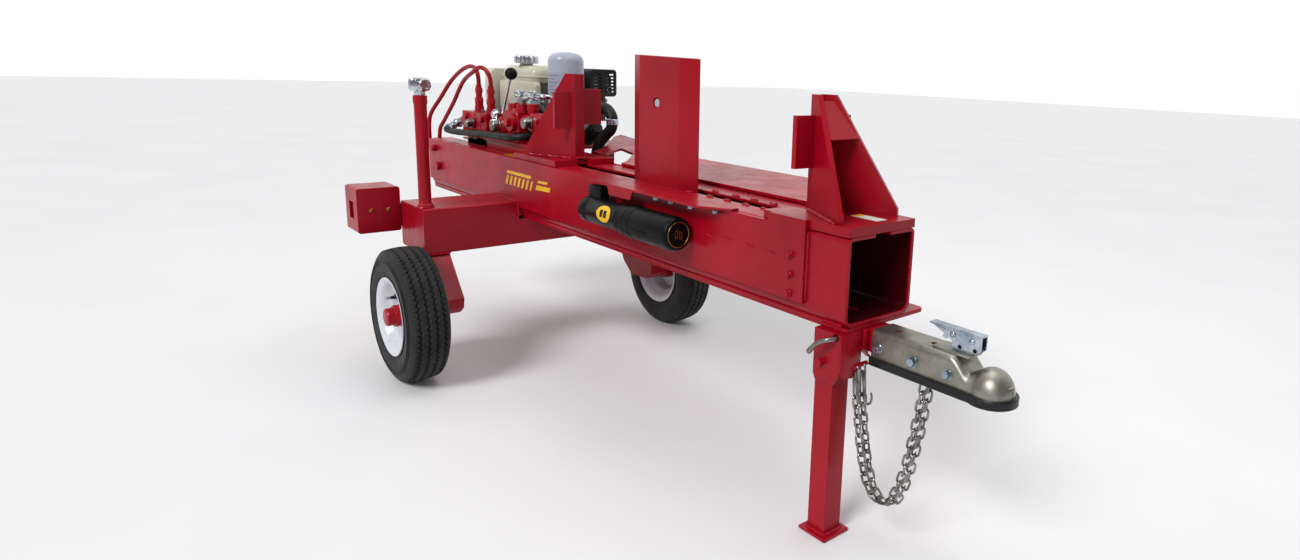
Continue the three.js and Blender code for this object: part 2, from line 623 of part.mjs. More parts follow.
function jackPin() {
  const { x, y, pinZ } = JACK;
  const px = x + 34;
  return tube([
    [px, y + 42, pinZ], [px, y, pinZ], [px, y - 44, pinZ], [px - 6, y - 53, pinZ - 1], [px - 26, y - 58, pinZ - 12],
    [px - 48, y - 60, pinZ - 36],
  ], 5.5, 14, 10);
}

// ---------- Safety chains ----------
function chainStrand(y, sag) {
  const { rearX, frontX, rearZ, frontZ, radius } = CHAIN;
  const middle = (rearX + frontX) / 2;
  const points = [];
  for (let i = 0; i <= 12; i += 1) {
    const t = (i / 12) * 2 - 1;
    const end = t < 0 ? rearZ : frontZ;
    points.push([middle + ((frontX - rearX) / 2) * t, y + 14 * (t - 1), sag + (end - sag) * Math.abs(t) ** 2.6]);
  }
  return tube(points, radius, 24, 8);
}

// ---------- Hydraulics ----------
function valveBody() {
  const { rear, front, near, far, low, high } = VALVE;
  const mid = (near + far) / 2;
  const casting = box(rear + 20, front - 10, near + 8, far - 4, low, high - 6);
  const foot = box(rear + 40, front - 30, near + 16, far - 12, BEAM.top + GAP, low + 4);
  const rearCap = rod(26, rear - 16, rear + 24, 'x', 0, mid, low + 42, 20);
  const frontCap = rod(22, front - 14, front + 22, 'x', 0, mid, low + 42, 20);
  const port = (x) => [
    rod(17, high - 10, high + 10, 'z', x, mid, 0, 16),
    hexagon(16, high + 8, high + 34, 'z', x, mid, 0),
    rod(12, high + 30, high + 50, 'z', x, mid, 0, 12),
  ];
  const plug = rod(14, near - 4, near + 12, 'y', rear + 60, 0, low + 60, 14);
  const relief = hexagon(14, near - 6, near + 12, 'y', front - 40, 0, low + 62);
  const ear = (from, to) => box(front + 10, LEVER.x + 11, mid + from, mid + to, LEVER.z - 14, LEVER.z + 14);
  return join(casting, foot, rearCap, frontCap, ear(-14, -10), ear(10, 14), ...port(-1935), ...port(-1828), plug, relief);
}

function leverPoint(t) {
  const foot = [LEVER.x, (VALVE.near + VALVE.far) / 2, LEVER.z];
  const tip = [-1656, (VALVE.near + VALVE.far) / 2 - 2, 918];
  return foot.map((value, axis) => value + (tip[axis] - value) * t);
}

function valveLever() {
  const mid = (VALVE.near + VALVE.far) / 2;
  const boss = rod(LEVER.boss, mid - 9, mid + 9, 'y', LEVER.x, 0, LEVER.z);
  const stick = tube([leverPoint(0), leverPoint(0.5), leverPoint(1)], 4.5, 4, 10);
  return join(boss, stick);
}

function leverKnob() {
  const [x, y, z] = leverPoint(1);
  const radius = 21;
  const ball = new THREE.SphereGeometry(radius, 14, 9).translate(x + 7, y, z + 16);
  return cut(ball, tube([leverPoint(0.8), leverPoint(0.9), leverPoint(1.02)], 5.1, 4, 10));
}

function returnManifold() {
  const { rear, front, near, far, low, high } = MANIFOLD;
  const mid = (near + far) / 2;
  const casting = box(rear + 4, front, near + 10, far, low, high - 14);
  const foot = box(rear + 20, front - 20, near + 16, far - 12, BEAM.top + GAP, low + 4);
  const bowl = rod(30, near - 6, near + 30, 'y', front - 42, 0, low + 32, 20);
  const plug = hexagon(15, near - 20, near - 2, 'y', front - 42, 0, low + 32);
  const port = (x) => rod(20, high - 20, high + 12, 'z', x, mid, 0, 16);
  return join(casting, foot, bowl, plug, port(rear + 38), port(front - 26));
}

function filterHead() {
  const { x, y, radius, low } = FILTER;
  const head = rod(radius - 6, low - 46, low - GAP, 'z', x, y, 0, 24);
  const riser = box(x - 22, x + 22, 62, 104, BEAM.top + GAP, low - 40);
  const mid = (MANIFOLD.near + MANIFOLD.far) / 2;
  const port = MANIFOLD.front - 26;
  const inlet = tube([
    [port, mid, MANIFOLD.high + 12 + GAP], [port, mid, MANIFOLD.high + 26], [port + 14, mid + 10, MANIFOLD.high + 34],
    [port + 26, mid + 40, MANIFOLD.high + 12], [x - 8, y - 58, low - 20], [x - 2, y - 40, low - 22],
  ], 11, 18, 10);
  return join(head, riser, inlet);
}

function filterCan() {
  const { x, y, radius, low, high } = FILTER;
  return turned([
    [0, low], [radius - 3, low], [radius, low + 6], [radius, high - 34], [radius - 5, high - 18],
    [radius - 18, high - 6], [radius - 34, high], [0, high + 1],
  ], 'z', x, y, 0, 32);
}

// Steel line from a work port, over the beam's rear end and forward inside the channel to a ram port.
function extendLine() {
  const y = (VALVE.near + VALVE.far) / 2;
  return tube([
    [-1935, y, VALVE.high + 50 + GAP], [-1936, y, 912], [-1952, y, 941], [-1994, y - 3, 952], [-2052, y - 8, 941],
    [-2150, y - 18, 895], [-2210, y - 42, 824], [-2259, y - 68, 752], [-2268, y - 72, 700], [-2268, y - 66, 600],
    [-2262, y - 54, 554], [-2236, y - 50, PORT.extendZ], [-2180, PORT.y, PORT.extendZ],
    [PORT.extendX, PORT.y, PORT.extendZ],
  ], LINE.steel, 36, 8);
}

function retractLine() {
  const y = (VALVE.near + VALVE.far) / 2;
  return tube([
    [-1828, y, VALVE.high + 50 + GAP], [-1830, y, 911], [-1842, y - 8, 939], [-1872, y - 18, 950],
    [-1925, y - 24, 932], [-2020, y - 24, 894], [-2130, y - 24, 806], [-2236, y - 28, 722], [-2262, y - 30, 700],
    [-2268, y - 32, 670], [-2266, y - 38, 622], [-2246, y - 46, 592], [-2200, PORT.y, PORT.retractZ], [-2100, PORT.y, PORT.retractZ],
    [-1700, PORT.y, PORT.retractZ], [PORT.retractX, PORT.y, PORT.retractZ],
  ], LINE.steel, 44, 8);
}

function returnHose() {
  const y = VALVE.near;
  return tube([
    [VALVE.rear - 17, y + 40, 744], [-2096, y + 38, 742], [-2138, y + 18, 724], [-2132, y - 8, 715],
    [-2078, y - 13, 713], [-1900, y - 15, 720], [-1757, y - 15, 729], [-1600, y - 14, 732], [-1540, y - 6, 732],
    [-1516, y + 30, 734], [-1524, y + 80, 738], [-1541, y + 118, 740], [-1541, 61, 740],
  ], LINE.hose, 34, 8);
}

function suctionHose() {
  const y = ENGINE.mid;
  return tube([
    [-1567, y, ENGINE.shaft], [-1548, y, ENGINE.shaft + 0.5], [-1500, y, 822], [-1448, y, 822], [-1412, y, 796],
    [-1418, y, 758], [-1472, y, 726], [-1516, y, 690], [-1536, y, 640], [-1538, y, 580], [-1536, y, 545],
    [-1536, y, TANK.high + 2 * GAP],
  ], LINE.suction, 28, 8);
}

function gearPump() {
  const { front, shaft, mid } = ENGINE;
  const bell = turned([[0, front + GAP], [58, front + GAP], [46, front + 50], [0, front + 50]], 'x', 0, mid, shaft, 24);
  const body = box(front + 48, front + 134, mid - 44, mid + 44, shaft - 48, shaft + 44);
  const outlet = rod(15, -70, -40, 'y', front + 96, mid, shaft, 14);
  const inlet = rod(26, front + 130, front + 152, 'x', 0, mid, shaft, 20);
  return join(bell, body, outlet, inlet);
}

// ---------- Engine ----------
function engineMount() {
  const { rear, front, far, base } = ENGINE;
  const deckTop = base - GAP;
  const inner = BEAM.half + SIDE_PLATE.thick + 2 * GAP;
  const deck = box(rear, front + 130, inner, far + 20, deckTop - 8, deckTop);
  const rib = (x) => prism([[inner, 560], [inner, deckTop - 4], [far, deckTop - 4], [far, deckTop - 20]].reverse(),
    'yz', x, x + 10);
  const post = box(TANK.rear + 14, TANK.rear + 44, 310, 350, TANK.high + GAP, deckTop - 4);
  return join(deck, rib(rear + 60), rib(rear + 250), post);
}

function engineBlock() {
  const { rear, front, base, shaft, mid } = ENGINE;
  const side = roundedShape(rear + 110, front, base, shaft + 41, 14);
  const crankcase = prism(side, 'xz', mid - 96, mid + 96, 3);
  const head = box(rear + 240, front - 30, mid + 90, mid + 168, shaft - 50, shaft + 40);
  const seat = rod(52, front - 4, front, 'x', 0, mid, shaft, 20);
  return join(crankcase, head, seat);
}

function fanCover() {
  const { rear, shaft, mid } = ENGINE;
  const drum = turned([
    [0, rear], [70, rear], [78, rear + 24], [126, rear + 38], [132, rear + 109.6], [0, rear + 109.6],
  ], 'x', 0, mid, shaft + 6, 28);
  const duct = prism(roundedShape(mid - 128, mid + 90, shaft + 20, shaft + 136, 16), 'yz', rear + 40, rear + 109.6, 3);
  return join(drum, duct);
}

function recoilHandle() {
  const { rear, shaft, mid } = ENGINE;
  return prism(roundedShape(mid + 40, mid + 92, shaft + 84, shaft + 98, 6), 'yz', rear + 4, rear + 22, 3);
}

function fuelTank() {
  const { front, shaft, mid } = ENGINE;
  const low = shaft + 62;
  const lower = roundedShape(front - 330, front - 50, mid - 126, mid + 70, 34);
  const upper = roundedShape(front - 316, front - 64, mid - 112, mid + 58, 30);
  const saddle = box(front - 220, front - 120, mid - 60, mid + 60, shaft + 41.4, low + 34);
  const neck = rod(24, low + 84, low + 96, 'z', front - 180, mid - 88, 0, 20);
  return join(prism(lower, 'xy', low + 22, low + 72, 3), prism(upper, 'xy', low + 70, low + 90, 3), saddle, neck);
}

function fuelCap() {
  const { front, shaft, mid } = ENGINE;
  const low = shaft + 62 + 96 + GAP;
  return turned([
    [0, low], [40, low], [44, low + 4], [44, low + 16], [40, low + 22], [0, low + 23],
  ], 'z', front - 180, mid - 88, 0, 24);
}

function mufflerGuard() {
  const { front, shaft, mid } = ENGINE;
  const outline = roundedShape(mid + 76, mid + 192, shaft + 42, shaft + 146, 12);
  return prism(outline, 'yz', front - 150, front + 18, 3);
}

function airCleaner() {
  const { rear, shaft, mid } = ENGINE;
  const outline = roundedShape(mid + 94, mid + 186, shaft + 42, shaft + 134, 12);
  return prism(outline, 'yz', rear + 130, rear + 290, 3);
}

function throttleLever() {
  const { rear, shaft, mid } = ENGINE;
  const x = rear + 250;
  const face = mid - 96 - GAP;
  const arm = box(x - 5, x + 5, face - 20, face - 16, shaft - 10, shaft + 48);
  const boss = rod(9, face - 20, face, 'y', x, 0, shaft - 6, 14);
  const grip = box(x - 9, x + 9, face - 26, face - 14, shaft + 36, shaft + 54);
  return join(arm, boss, grip);
}

// ---------- Assembly ----------
add('beam_channel', beamChannel(), 'red');
add('beam_floor_plate', floorPlate(), 'red');
add('side_plate_near', sidePlate(-1), 'red');
add('side_plate_far', sidePlate(1), 'red');
add('front_footplate', footplate(FRONT_FOOT), 'red');
add('rear_footplate', footplate(REAR_FOOT), 'red');
add('wedge', wedgePlate(), 'red');
add('wedge_pin', wedgePin(), 'steel');
add('wedge_carriage', wedgeCarriage(), 'blackMetal');
add('ram_barrel', ramBarrel(), 'blackMetal');
add('ram_gland', ramGland(), 'steel');
add('ram_rod', ramRod(), 'steel');
add('ram_anchor_pin', ramPin(), 'red');
add('log_table', logTable(), 'red');
add('cross_tank', crossTank(), 'red');
add('filler_pipe', fillerPipe(), 'red');
add('breather_cap', breatherCap(), 'zinc');

for (const [label, side] of [['near', -1], ['far', 1]]) {
  add(`axle_leg_${label}`, axleLeg(side), 'red');
  add(`hub_${label}`, hub(side), 'red');
  add(`rim_${label}`, rim(side), 'white');
  add(`tyre_${label}`, tyre(side), 'rubber');
  add(`lamp_box_${label}`, lampBox(side), 'red');
  add(`lamp_lens_${label}`, lampLens(side), 'lens');
}

add('canister_tube', canisterTube(), 'black');
add('canister_cap', canisterCap(), 'black');
add('canister_guard', canisterGuard(), 'red');

add('tongue', tongue(), 'red');
add('coupler', coupler(), 'grey');
add('coupler_latch', couplerLatch(), 'zinc');
add('jack_bracket', jackBracket(), 'red');
add('jack_leg', jackLeg(), 'red');
add('jack_pin', jackPin(), 'steel');

for (const [label, y, sag] of [['near', -34, 112], ['far', -12, 100]]) {
  add(`safety_chain_${label}`, chainStrand(y, sag), 'zinc');
}

add('control_valve', valveBody(), 'red');
add('valve_lever', valveLever(), 'zinc');
add('valve_knob', leverKnob(), 'black');
add('return_manifold', returnManifold(), 'red');
add('extend_line', extendLine(), 'red');
add('retract_line', retractLine(), 'red');
add('return_hose', returnHose(), 'rubber');
add('filter_head', filterHead(), 'zinc');
add('filter_can', filterCan(), 'white');
add('gear_pump', gearPump(), 'blackMetal');
add('suction_hose', suctionHose(), 'rubber');

add('engine_mount', engineMount(), 'red');
add('engine_block', engineBlock(), 'grey');
add('fan_cover', fanCover(), 'cream');
add('recoil_handle', recoilHandle(), 'black');
add('fuel_tank', fuelTank(), 'cream');
add('fuel_cap', fuelCap(), 'zinc');
add('muffler_guard', mufflerGuard(), 'blackMetal');
add('air_cleaner', airCleaner(), 'black');
add('throttle_lever', throttleLever(), 'black');

export default splitter;
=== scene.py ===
"""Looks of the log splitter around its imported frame: finishes, wheels, engine, fittings, chains, light.

Shapes are drawn in millimetres at stations along the beam, measured from its hitch end, with Y across
and Z up from the ground. place() turns them into metres in the row frame.
"""

import json
import random
from math import copysign, cos, exp, pi, radians, sin, sqrt

import bmesh
import bpy
from mathutils import Matrix, Vector

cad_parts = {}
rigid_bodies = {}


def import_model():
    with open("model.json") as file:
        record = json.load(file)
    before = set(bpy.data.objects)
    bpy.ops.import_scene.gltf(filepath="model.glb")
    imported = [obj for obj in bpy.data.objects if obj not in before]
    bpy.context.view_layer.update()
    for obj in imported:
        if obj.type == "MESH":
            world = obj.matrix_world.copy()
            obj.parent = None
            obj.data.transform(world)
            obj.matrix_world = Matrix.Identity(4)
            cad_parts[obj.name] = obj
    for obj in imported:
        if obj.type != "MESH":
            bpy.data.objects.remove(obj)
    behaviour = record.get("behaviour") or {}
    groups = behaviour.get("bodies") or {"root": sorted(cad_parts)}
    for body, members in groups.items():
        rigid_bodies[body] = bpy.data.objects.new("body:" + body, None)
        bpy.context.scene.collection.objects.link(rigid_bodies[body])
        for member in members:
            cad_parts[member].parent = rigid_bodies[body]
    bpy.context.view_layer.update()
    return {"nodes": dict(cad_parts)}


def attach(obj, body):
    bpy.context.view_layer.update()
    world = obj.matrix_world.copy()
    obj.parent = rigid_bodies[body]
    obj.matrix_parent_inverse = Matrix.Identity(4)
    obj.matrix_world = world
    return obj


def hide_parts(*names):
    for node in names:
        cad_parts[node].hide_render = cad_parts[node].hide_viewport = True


for leftover in list(bpy.data.objects):
    bpy.data.objects.remove(leftover)
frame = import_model()
NODES = frame["nodes"]
SCENE = bpy.context.scene
random.seed(7)

HITCH_END = 0.976  # row-frame X of the beam's hitch end, metres
MM = 0.001

# Named places, in millimetres.
BEAM_TOP = 662
BEAM_SIDE = 115.3
WHEEL = {"x": -1427, "y": 484, "z": 207}
CANISTER = {"y": -162, "z": 588}
COUPLER = {"rear": 18, "neck": 205, "ball": 276, "low": 406}
ENGINE = {"rear": -2190, "front": -1720, "mid": 232, "shaft": 812}
VALVE = {"y": -32, "top": 792}
FILTER = {"x": -1541, "y": 118}
FILLER = {"x": -1480, "y": -402, "top": 866}
MANIFOLD_PORTS = (-1640, -1542)
MANIFOLD_PORT_Y = -6
WORK_PORTS = (-1935, -1828)
BASE_PLATE_TOP = 681
SIDES = ((-1, "near"), (1, "far"))
TREAD_WAVES = 72
SHOULDER_BLOCKS = 108
TYRE_STEPS = 432
CHAIN_PITCH = 20.6
CHAIN_WIRE = 2.5
CHAIN_HOOK_REACH = 66

# Half width, floor, roof and end of the space inside the beam, in metres of the row frame, where painted
# shade darkens the red.
CHANNEL_SHADE_BOX = (0.098, 0.481, 0.655, 0.972)

# Where the camera stands in metres, how it is turned in degrees, and its lens.
CAMERA_SPOT = (1.9501, -1.2335, 0.9798)
CAMERA_TURN = (47.27, 11.45, 2.11)
CAMERA_LENS = 21.47
CAMERA_SHIFT = (-0.0878, -0.041)


# ---------- Camera ----------
def aim_camera():
    data = bpy.data.cameras.new("camera")
    camera = bpy.data.objects.new("camera", data)
    SCENE.collection.objects.link(camera)
    azimuth, pitch, roll = (radians(a) for a in CAMERA_TURN)
    forward = Vector(
        (-sin(azimuth) * cos(pitch), cos(azimuth) * cos(pitch), -sin(pitch))
    )
    right = Vector((cos(azimuth), sin(azimuth), 0))
    up = right.cross(forward)
    tilted_right = right * cos(roll) + up * sin(roll)
    tilted_up = up * cos(roll) - right * sin(roll)
    axes = Matrix((tilted_right, tilted_up, -forward)).transposed()
    camera.matrix_world = Matrix.Translation(CAMERA_SPOT) @ axes.to_4x4()
    data.sensor_width = 36
    data.lens = CAMERA_LENS
    data.shift_x, data.shift_y = CAMERA_SHIFT
    data.clip_start = 0.05
    data.clip_end = 100
    SCENE.camera = camera


# ---------- Finishes ----------
def rgb(screen):
    """Linear colour from a triple of 0 to 255 screen values."""
    channels = []
    for value in screen:
        value /= 255
        channels.append(value / 12.92 if value <= 0.04045 else ((value + 0.055) / 1.055) ** 2.4)
    return (*channels, 1)


class Finish:
    """A procedural material: colour in broad patches, roughness in finer ones, and bump."""

    def __init__(self, name, metallic=0.0, coat=0.0, coat_roughness=0.1, ior=1.5, specular=0.5):
        self.material = bpy.data.materials.new(name)
        self.material.use_nodes = True
        self.tree = self.material.node_tree
        self.shader = self.tree.nodes["Principled BSDF"]
        self.shader.inputs["Metallic"].default_value = metallic
        self.shader.inputs["Coat Weight"].default_value = coat
        self.shader.inputs["Coat Roughness"].default_value = coat_roughness
        self.shader.inputs["IOR"].default_value = ior
        self.shader.inputs["Specular IOR Level"].default_value = specular
        self.place = self.tree.nodes.new("ShaderNodeTexCoord").outputs["Object"]

    def node(self, kind, operation=None, **values):
        """A new node, with its operation and its unlinked inputs set."""
        node = self.tree.nodes.new(kind)
        if operation:
            node.operation = operation
        for label, value in values.items():
            node.inputs[label.replace("_", " ")].default_value = value
        return node

    def noise(self, scale, detail=3.0, roughness=0.5, stretch=None):
        source = self.place
        if stretch:
            mapping = self.node("ShaderNodeMapping", Scale=stretch)
            self.tree.links.new(source, mapping.inputs["Vector"])
            source = mapping.outputs["Vector"]
        node = self.node("ShaderNodeTexNoise", Scale=scale, Detail=detail, Roughness=roughness)
        self.tree.links.new(source, node.inputs["Vector"])
        return node.outputs["Fac"]

    def ramp(self, factor, stops):
        node = self.tree.nodes.new("ShaderNodeValToRGB")
        elements = node.color_ramp.elements
        while len(elements) < len(stops):
            elements.new(0.5)
        for element, (position, colour) in zip(elements, stops):
            element.position = position
            element.color = colour
        self.tree.links.new(factor, node.inputs["Fac"])
        return node.outputs["Color"]

    def mix(self, factor, first, second):
        node = self.tree.nodes.new("ShaderNodeMix")
        node.data_type = "RGBA"
        self.tree.links.new(factor, node.inputs["Factor"])
        for socket, value in ((node.inputs[6], first), (node.inputs[7], second)):
            if hasattr(value, "is_linked"):
                self.tree.links.new(value, socket)
            else:
                socket.default_value = value
        return node.outputs[2]

    def within(self, half, low, high, end):
        """1 where |Y| is below half, Z is from low to high and X is below end, else 0."""
        axes = self.node("ShaderNodeSeparateXYZ")
        self.tree.links.new(self.place, axes.inputs["Vector"])
        across = self.node("ShaderNodeMath", "ABSOLUTE")
        self.tree.links.new(axes.outputs["Y"], across.inputs[0])
        inside = None
        for source, operation, limit in (
            (across.outputs[0], "LESS_THAN", half), (axes.outputs["Z"], "GREATER_THAN", low),
            (axes.outputs["Z"], "LESS_THAN", high), (axes.outputs["X"], "LESS_THAN", end),
        ):
            test = self.node("ShaderNodeMath", operation)
            test.inputs[1].default_value = limit
            self.tree.links.new(source, test.inputs[0])
            if inside:
                both = self.node("ShaderNodeMath", "MULTIPLY")
                self.tree.links.new(inside, both.inputs[0])
                self.tree.links.new(test.outputs[0], both.inputs[1])
                test = both
            inside = test.outputs[0]
        return inside

    def spread(self, factor, low, high):
        node = self.node("ShaderNodeMapRange", From_Min=0.3, From_Max=0.7, To_Min=low, To_Max=high)
        self.tree.links.new(factor, node.inputs["Value"])
        return node.outputs["Result"]

    def colour(self, socket):
        self.tree.links.new(socket, self.shader.inputs["Base Color"])

    def rough(self, socket):
        self.tree.links.new(socket, self.shader.inputs["Roughness"])

    def bump(self, *layers):
        """Each layer is (height socket, strength, distance in metres)."""
        normal = None
        for height, strength, distance in layers:
            node = self.node("ShaderNodeBump", Strength=strength, Distance=distance)
            self.tree.links.new(height, node.inputs["Height"])
            if normal:
                self.tree.links.new(normal, node.inputs["Normal"])
            normal = node.outputs["Normal"]
        self.tree.links.new(normal, self.shader.inputs["Normal"])


def paint(name, main, deep, worn, rough=(0.26, 0.42), coat=0.09, peel=0.08, painted_shade_box=None):
    """Sprayed enamel on steel: broad tone changes, thin dust, a few chips and orange peel.

    Inside the box it is given, if any, the colour is darkened as painted shade.
    """
    main, deep, worn = rgb(main), rgb(deep), rgb(worn)
    finish = Finish(name, coat=coat, coat_roughness=0.08, specular=0.18)
    broad = finish.ramp(finish.noise(3.2, 4, 0.6), [(0.35, deep), (0.62, main)])
    dust = finish.ramp(finish.noise(38, 6, 0.7), [(0.58, (0, 0, 0, 1)), (0.8, (0.3, 0.3, 0.3, 1))])
    dusty = finish.mix(dust, broad, worn)
    chips = finish.ramp(finish.noise(260, 2, 0.4), [(0.785, (0, 0, 0, 1)), (0.8, (0.6, 0.6, 0.6, 1))])
    skin = finish.mix(chips, dusty, worn)
    # Painted shade: a dark red base colour inside the box.
    if painted_shade_box:
        skin = finish.mix(finish.within(*painted_shade_box), skin, rgb((60, 5, 10)))
    finish.colour(skin)
    finish.rough(finish.spread(finish.noise(17, 5, 0.6), *rough))
    finish.bump((finish.noise(420, 2, 0.4), peel, 0.0004), (finish.noise(9, 2, 0.5), 0.12, 0.004))
    return finish.material


def metal(name, main, deep, rough=(0.18, 0.35), grain=None, bump=0.08):
    """Bare or plated metal with cloudy tone and a fine grain, drawn out along one axis if grain says so."""
    finish = Finish(name, metallic=1.0)
    finish.colour(finish.ramp(finish.noise(26, 5, 0.65), [(0.32, rgb(deep)), (0.66, rgb(main))]))
    finish.rough(finish.spread(finish.noise(60, 5, 0.7, grain), *rough))
    finish.bump((finish.noise(520, 3, 0.6, grain), bump, 0.0003), (finish.noise(40, 2, 0.5), 0.05, 0.001))
    return finish.material


def polymer(name, main, deep, rough=(0.4, 0.6), bump=0.15, scale=300.0, sheen=0.0, specular=0.25):
    """Moulded plastic or rubber with a fine skin."""
    finish = Finish(name, ior=1.46, specular=specular)
    finish.shader.inputs["Sheen Weight"].default_value = sheen
    finish.colour(finish.ramp(finish.noise(14, 6, 0.65), [(0.3, rgb(deep)), (0.7, rgb(main))]))
    finish.rough(finish.spread(finish.noise(30, 4, 0.6), *rough))
    finish.bump(
        (finish.noise(scale, 4, 0.6), bump, 0.0005), (finish.noise(scale / 8, 3, 0.5), bump / 2, 0.001)
    )
    return finish.material


RED = paint("splitter_red", (150, 4, 26), (130, 2, 18), (140, 26, 42))
# The same red with painted shade darkening the inside of the beam channel.
RED_SHADED_CHANNEL = paint("splitter_red_painted_shade", (150, 4, 26), (130, 2, 18), (140, 26, 42), painted_shade_box=CHANNEL_SHADE_BOX)
BLACK_ENAMEL = paint("splitter_black", (26, 26, 28), (15, 15, 17), (70, 68, 66), (0.3, 0.5), 0.2)
WHITE = paint("wheel_white", (206, 208, 214), (190, 193, 200), (140, 138, 132), (0.25, 0.45), 0.3)
CREAM = paint("engine_cream", (188, 185, 166), (170, 167, 148), (132, 128, 110), (0.28, 0.42), 0.3, 0.06)
GREY_CAN = paint("filter_grey", (166, 170, 182), (150, 155, 170), (120, 122, 130), (0.25, 0.4), 0.3, 0.05)
CHROME = metal("chrome_plate", (214, 217, 222), (168, 172, 178), (0.07, 0.2), bump=0.04)
ZINC = metal("zinc_bright", (190, 202, 212), (120, 134, 150), (0.16, 0.34))
CHAIN_ZINC = metal("zinc_chain", (164, 162, 158), (92, 92, 92), (0.14, 0.3))
GREY_STEEL = metal("hitch_grey", (160, 157, 147), (126, 123, 112), (0.34, 0.5), (1, 6, 6), 0.12)
BARE = metal("ground_steel", (152, 148, 142), (98, 94, 90), (0.24, 0.45), (1, 8, 8), 0.12)
ALLOY = metal("cast_alloy_skin", (150, 150, 148), (112, 112, 110), (0.42, 0.62), bump=0.4)
BRASS = metal("brass", (196, 158, 84), (140, 104, 48), (0.25, 0.4))
HOSE = polymer("hose_cover", (27, 29, 26), (15, 16, 15), (0.4, 0.6), 0.3, 420)
TYRE = polymer("tyre_compound", (42, 42, 41), (24, 24, 24), (0.55, 0.8), 0.4, 260, 0.05)
PLASTIC = polymer("black_moulding", (10, 11, 10), (6, 6, 6), (0.3, 0.48), 0.1, 260, 0, 0.14)
LENS = polymer("lamp_red", (170, 12, 14), (120, 6, 8), (0.08, 0.16), 0.05, 120)
YELLOW = polymer("decal_yellow", (226, 178, 34), (208, 156, 22), (0.3, 0.45), 0.03, 90)
ORANGE = polymer("decal_orange", (214, 88, 40), (196, 70, 30), (0.3, 0.45), 0.03, 90)
LABEL = polymer("label_grey", (204, 204, 198), (184, 184, 178), (0.35, 0.5), 0.03, 90)
INK = polymer("decal_black", (22, 22, 22), (14, 14, 14), (0.4, 0.5), 0.03, 90)
BAND = polymer("filter_band", (150, 152, 166), (138, 141, 156), (0.3, 0.45), 0.03, 90)
SLATE = polymer("label_slate", (112, 118, 136), (98, 104, 122), (0.4, 0.5), 0.03, 90)
# Flat black used as painted shadow in the latch holes.
SHADOW = polymer("recess_painted_shadow", (12, 12, 12), (8, 8, 8), (0.7, 0.9), 0.05, 90)

SLOT_LOOKS = {
    "red_paint": RED,
    "black_paint": BLACK_ENAMEL,
    "white_paint": WHITE,
    "cream_paint": CREAM,
    "bright_steel": CHROME,
    "zinc_plate": ZINC,
    "bare_steel": BARE,
    "cast_alloy": ALLOY,
    "hose_rubber": HOSE,
    "tyre_rubber": TYRE,
    "black_plastic": PLASTIC,
    "red_lens": LENS,
}


# ---------- Frame pieces kept from the CAD ----------
def smooth_by_angle(limit):
    """A geometry node group that shades smooth across edges flatter than the angle it is given."""
    group = bpy.data.node_groups.new("smooth_by_angle", "GeometryNodeTree")
    group.interface.new_socket("Geometry", in_out="INPUT", socket_type="NodeSocketGeometry")
    group.interface.new_socket("Geometry", in_out="OUTPUT", socket_type="NodeSocketGeometry")
    entry = group.nodes.new("NodeGroupInput")
    leave = group.nodes.new("NodeGroupOutput")
    angle = group.nodes.new("GeometryNodeInputMeshEdgeAngle")
    compare = group.nodes.new("FunctionNodeCompare")
    compare.operation = "LESS_THAN"
    compare.inputs[1].default_value = radians(limit)
    faces = group.nodes.new("GeometryNodeSetShadeSmooth")
    edges = group.nodes.new("GeometryNodeSetShadeSmooth")
    edges.domain = "EDGE"
    group.links.new(entry.outputs[0], faces.inputs["Geometry"])
    group.links.new(faces.outputs[0], edges.inputs["Geometry"])
    group.links.new(angle.outputs["Unsigned Angle"], compare.inputs[0])
    group.links.new(compare.outputs[0], edges.inputs["Shade Smooth"])
    group.links.new(edges.outputs[0], leave.inputs[0])
    return group


SMOOTH = {limit: smooth_by_angle(limit) for limit in (14, 29)}


def dress(node, edge=1.2, limit=29, steps=2):
    """Gives a CAD node its finish and eased edges, without touching its own mesh."""
    piece = NODES[node]
    piece.data.materials[0] = SLOT_LOOKS[piece.data.materials[0].name.split(".")[0]]
    custom = piece.data.attributes.get("custom_normal")
    if custom:
        piece.data.attributes.remove(custom)
    weld = piece.modifiers.new("weld", "WELD")
    weld.merge_threshold = 0.00002
    if edge:
        flat = piece.modifiers.new("flat", "DECIMATE")
        flat.decimate_type = "DISSOLVE"
        flat.angle_limit = radians(0.4)
        ease = piece.modifiers.new("ease", "BEVEL")
        ease.width = edge * MM
        ease.segments = steps
        ease.limit_method = "ANGLE"
        ease.angle_limit = radians(limit)
        ease.use_clamp_overlap = False
        ease.miter_outer = "MITER_ARC"
    shade = piece.modifiers.new("shade", "NODES")
    shade.node_group = SMOOTH[limit]
    weigh = piece.modifiers.new("weigh", "WEIGHTED_NORMAL")
    weigh.keep_sharp = True
    return piece


# ---------- Shapes ----------
def place(name, bm, finish, body="frame", sharp=36, replaces=()):
    bmesh.ops.recalc_face_normals(bm, faces=bm.faces)
    to_row = Matrix.Translation((HITCH_END, 0, 0)) @ Matrix.Scale(MM, 4)
    bmesh.ops.transform(bm, matrix=to_row, verts=bm.verts)
    mesh = bpy.data.meshes.new(name)
    bm.to_mesh(mesh)
    bm.free()
    mesh.materials.append(finish)
    mesh.polygons.foreach_set("use_smooth", [True] * len(mesh.polygons))
    mesh.set_sharp_from_angle(angle=radians(sharp))
    piece = bpy.data.objects.new(name, mesh)
    SCENE.collection.objects.link(piece)
    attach(piece, body)
    if replaces:
        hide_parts(*replaces)
    return piece


def merge(bm, *parts):
    for part in parts:
        mesh = bpy.data.meshes.new("part")
        part.to_mesh(mesh)
        part.free()
        bm.from_mesh(mesh)
        bpy.data.meshes.remove(mesh)
    return bm


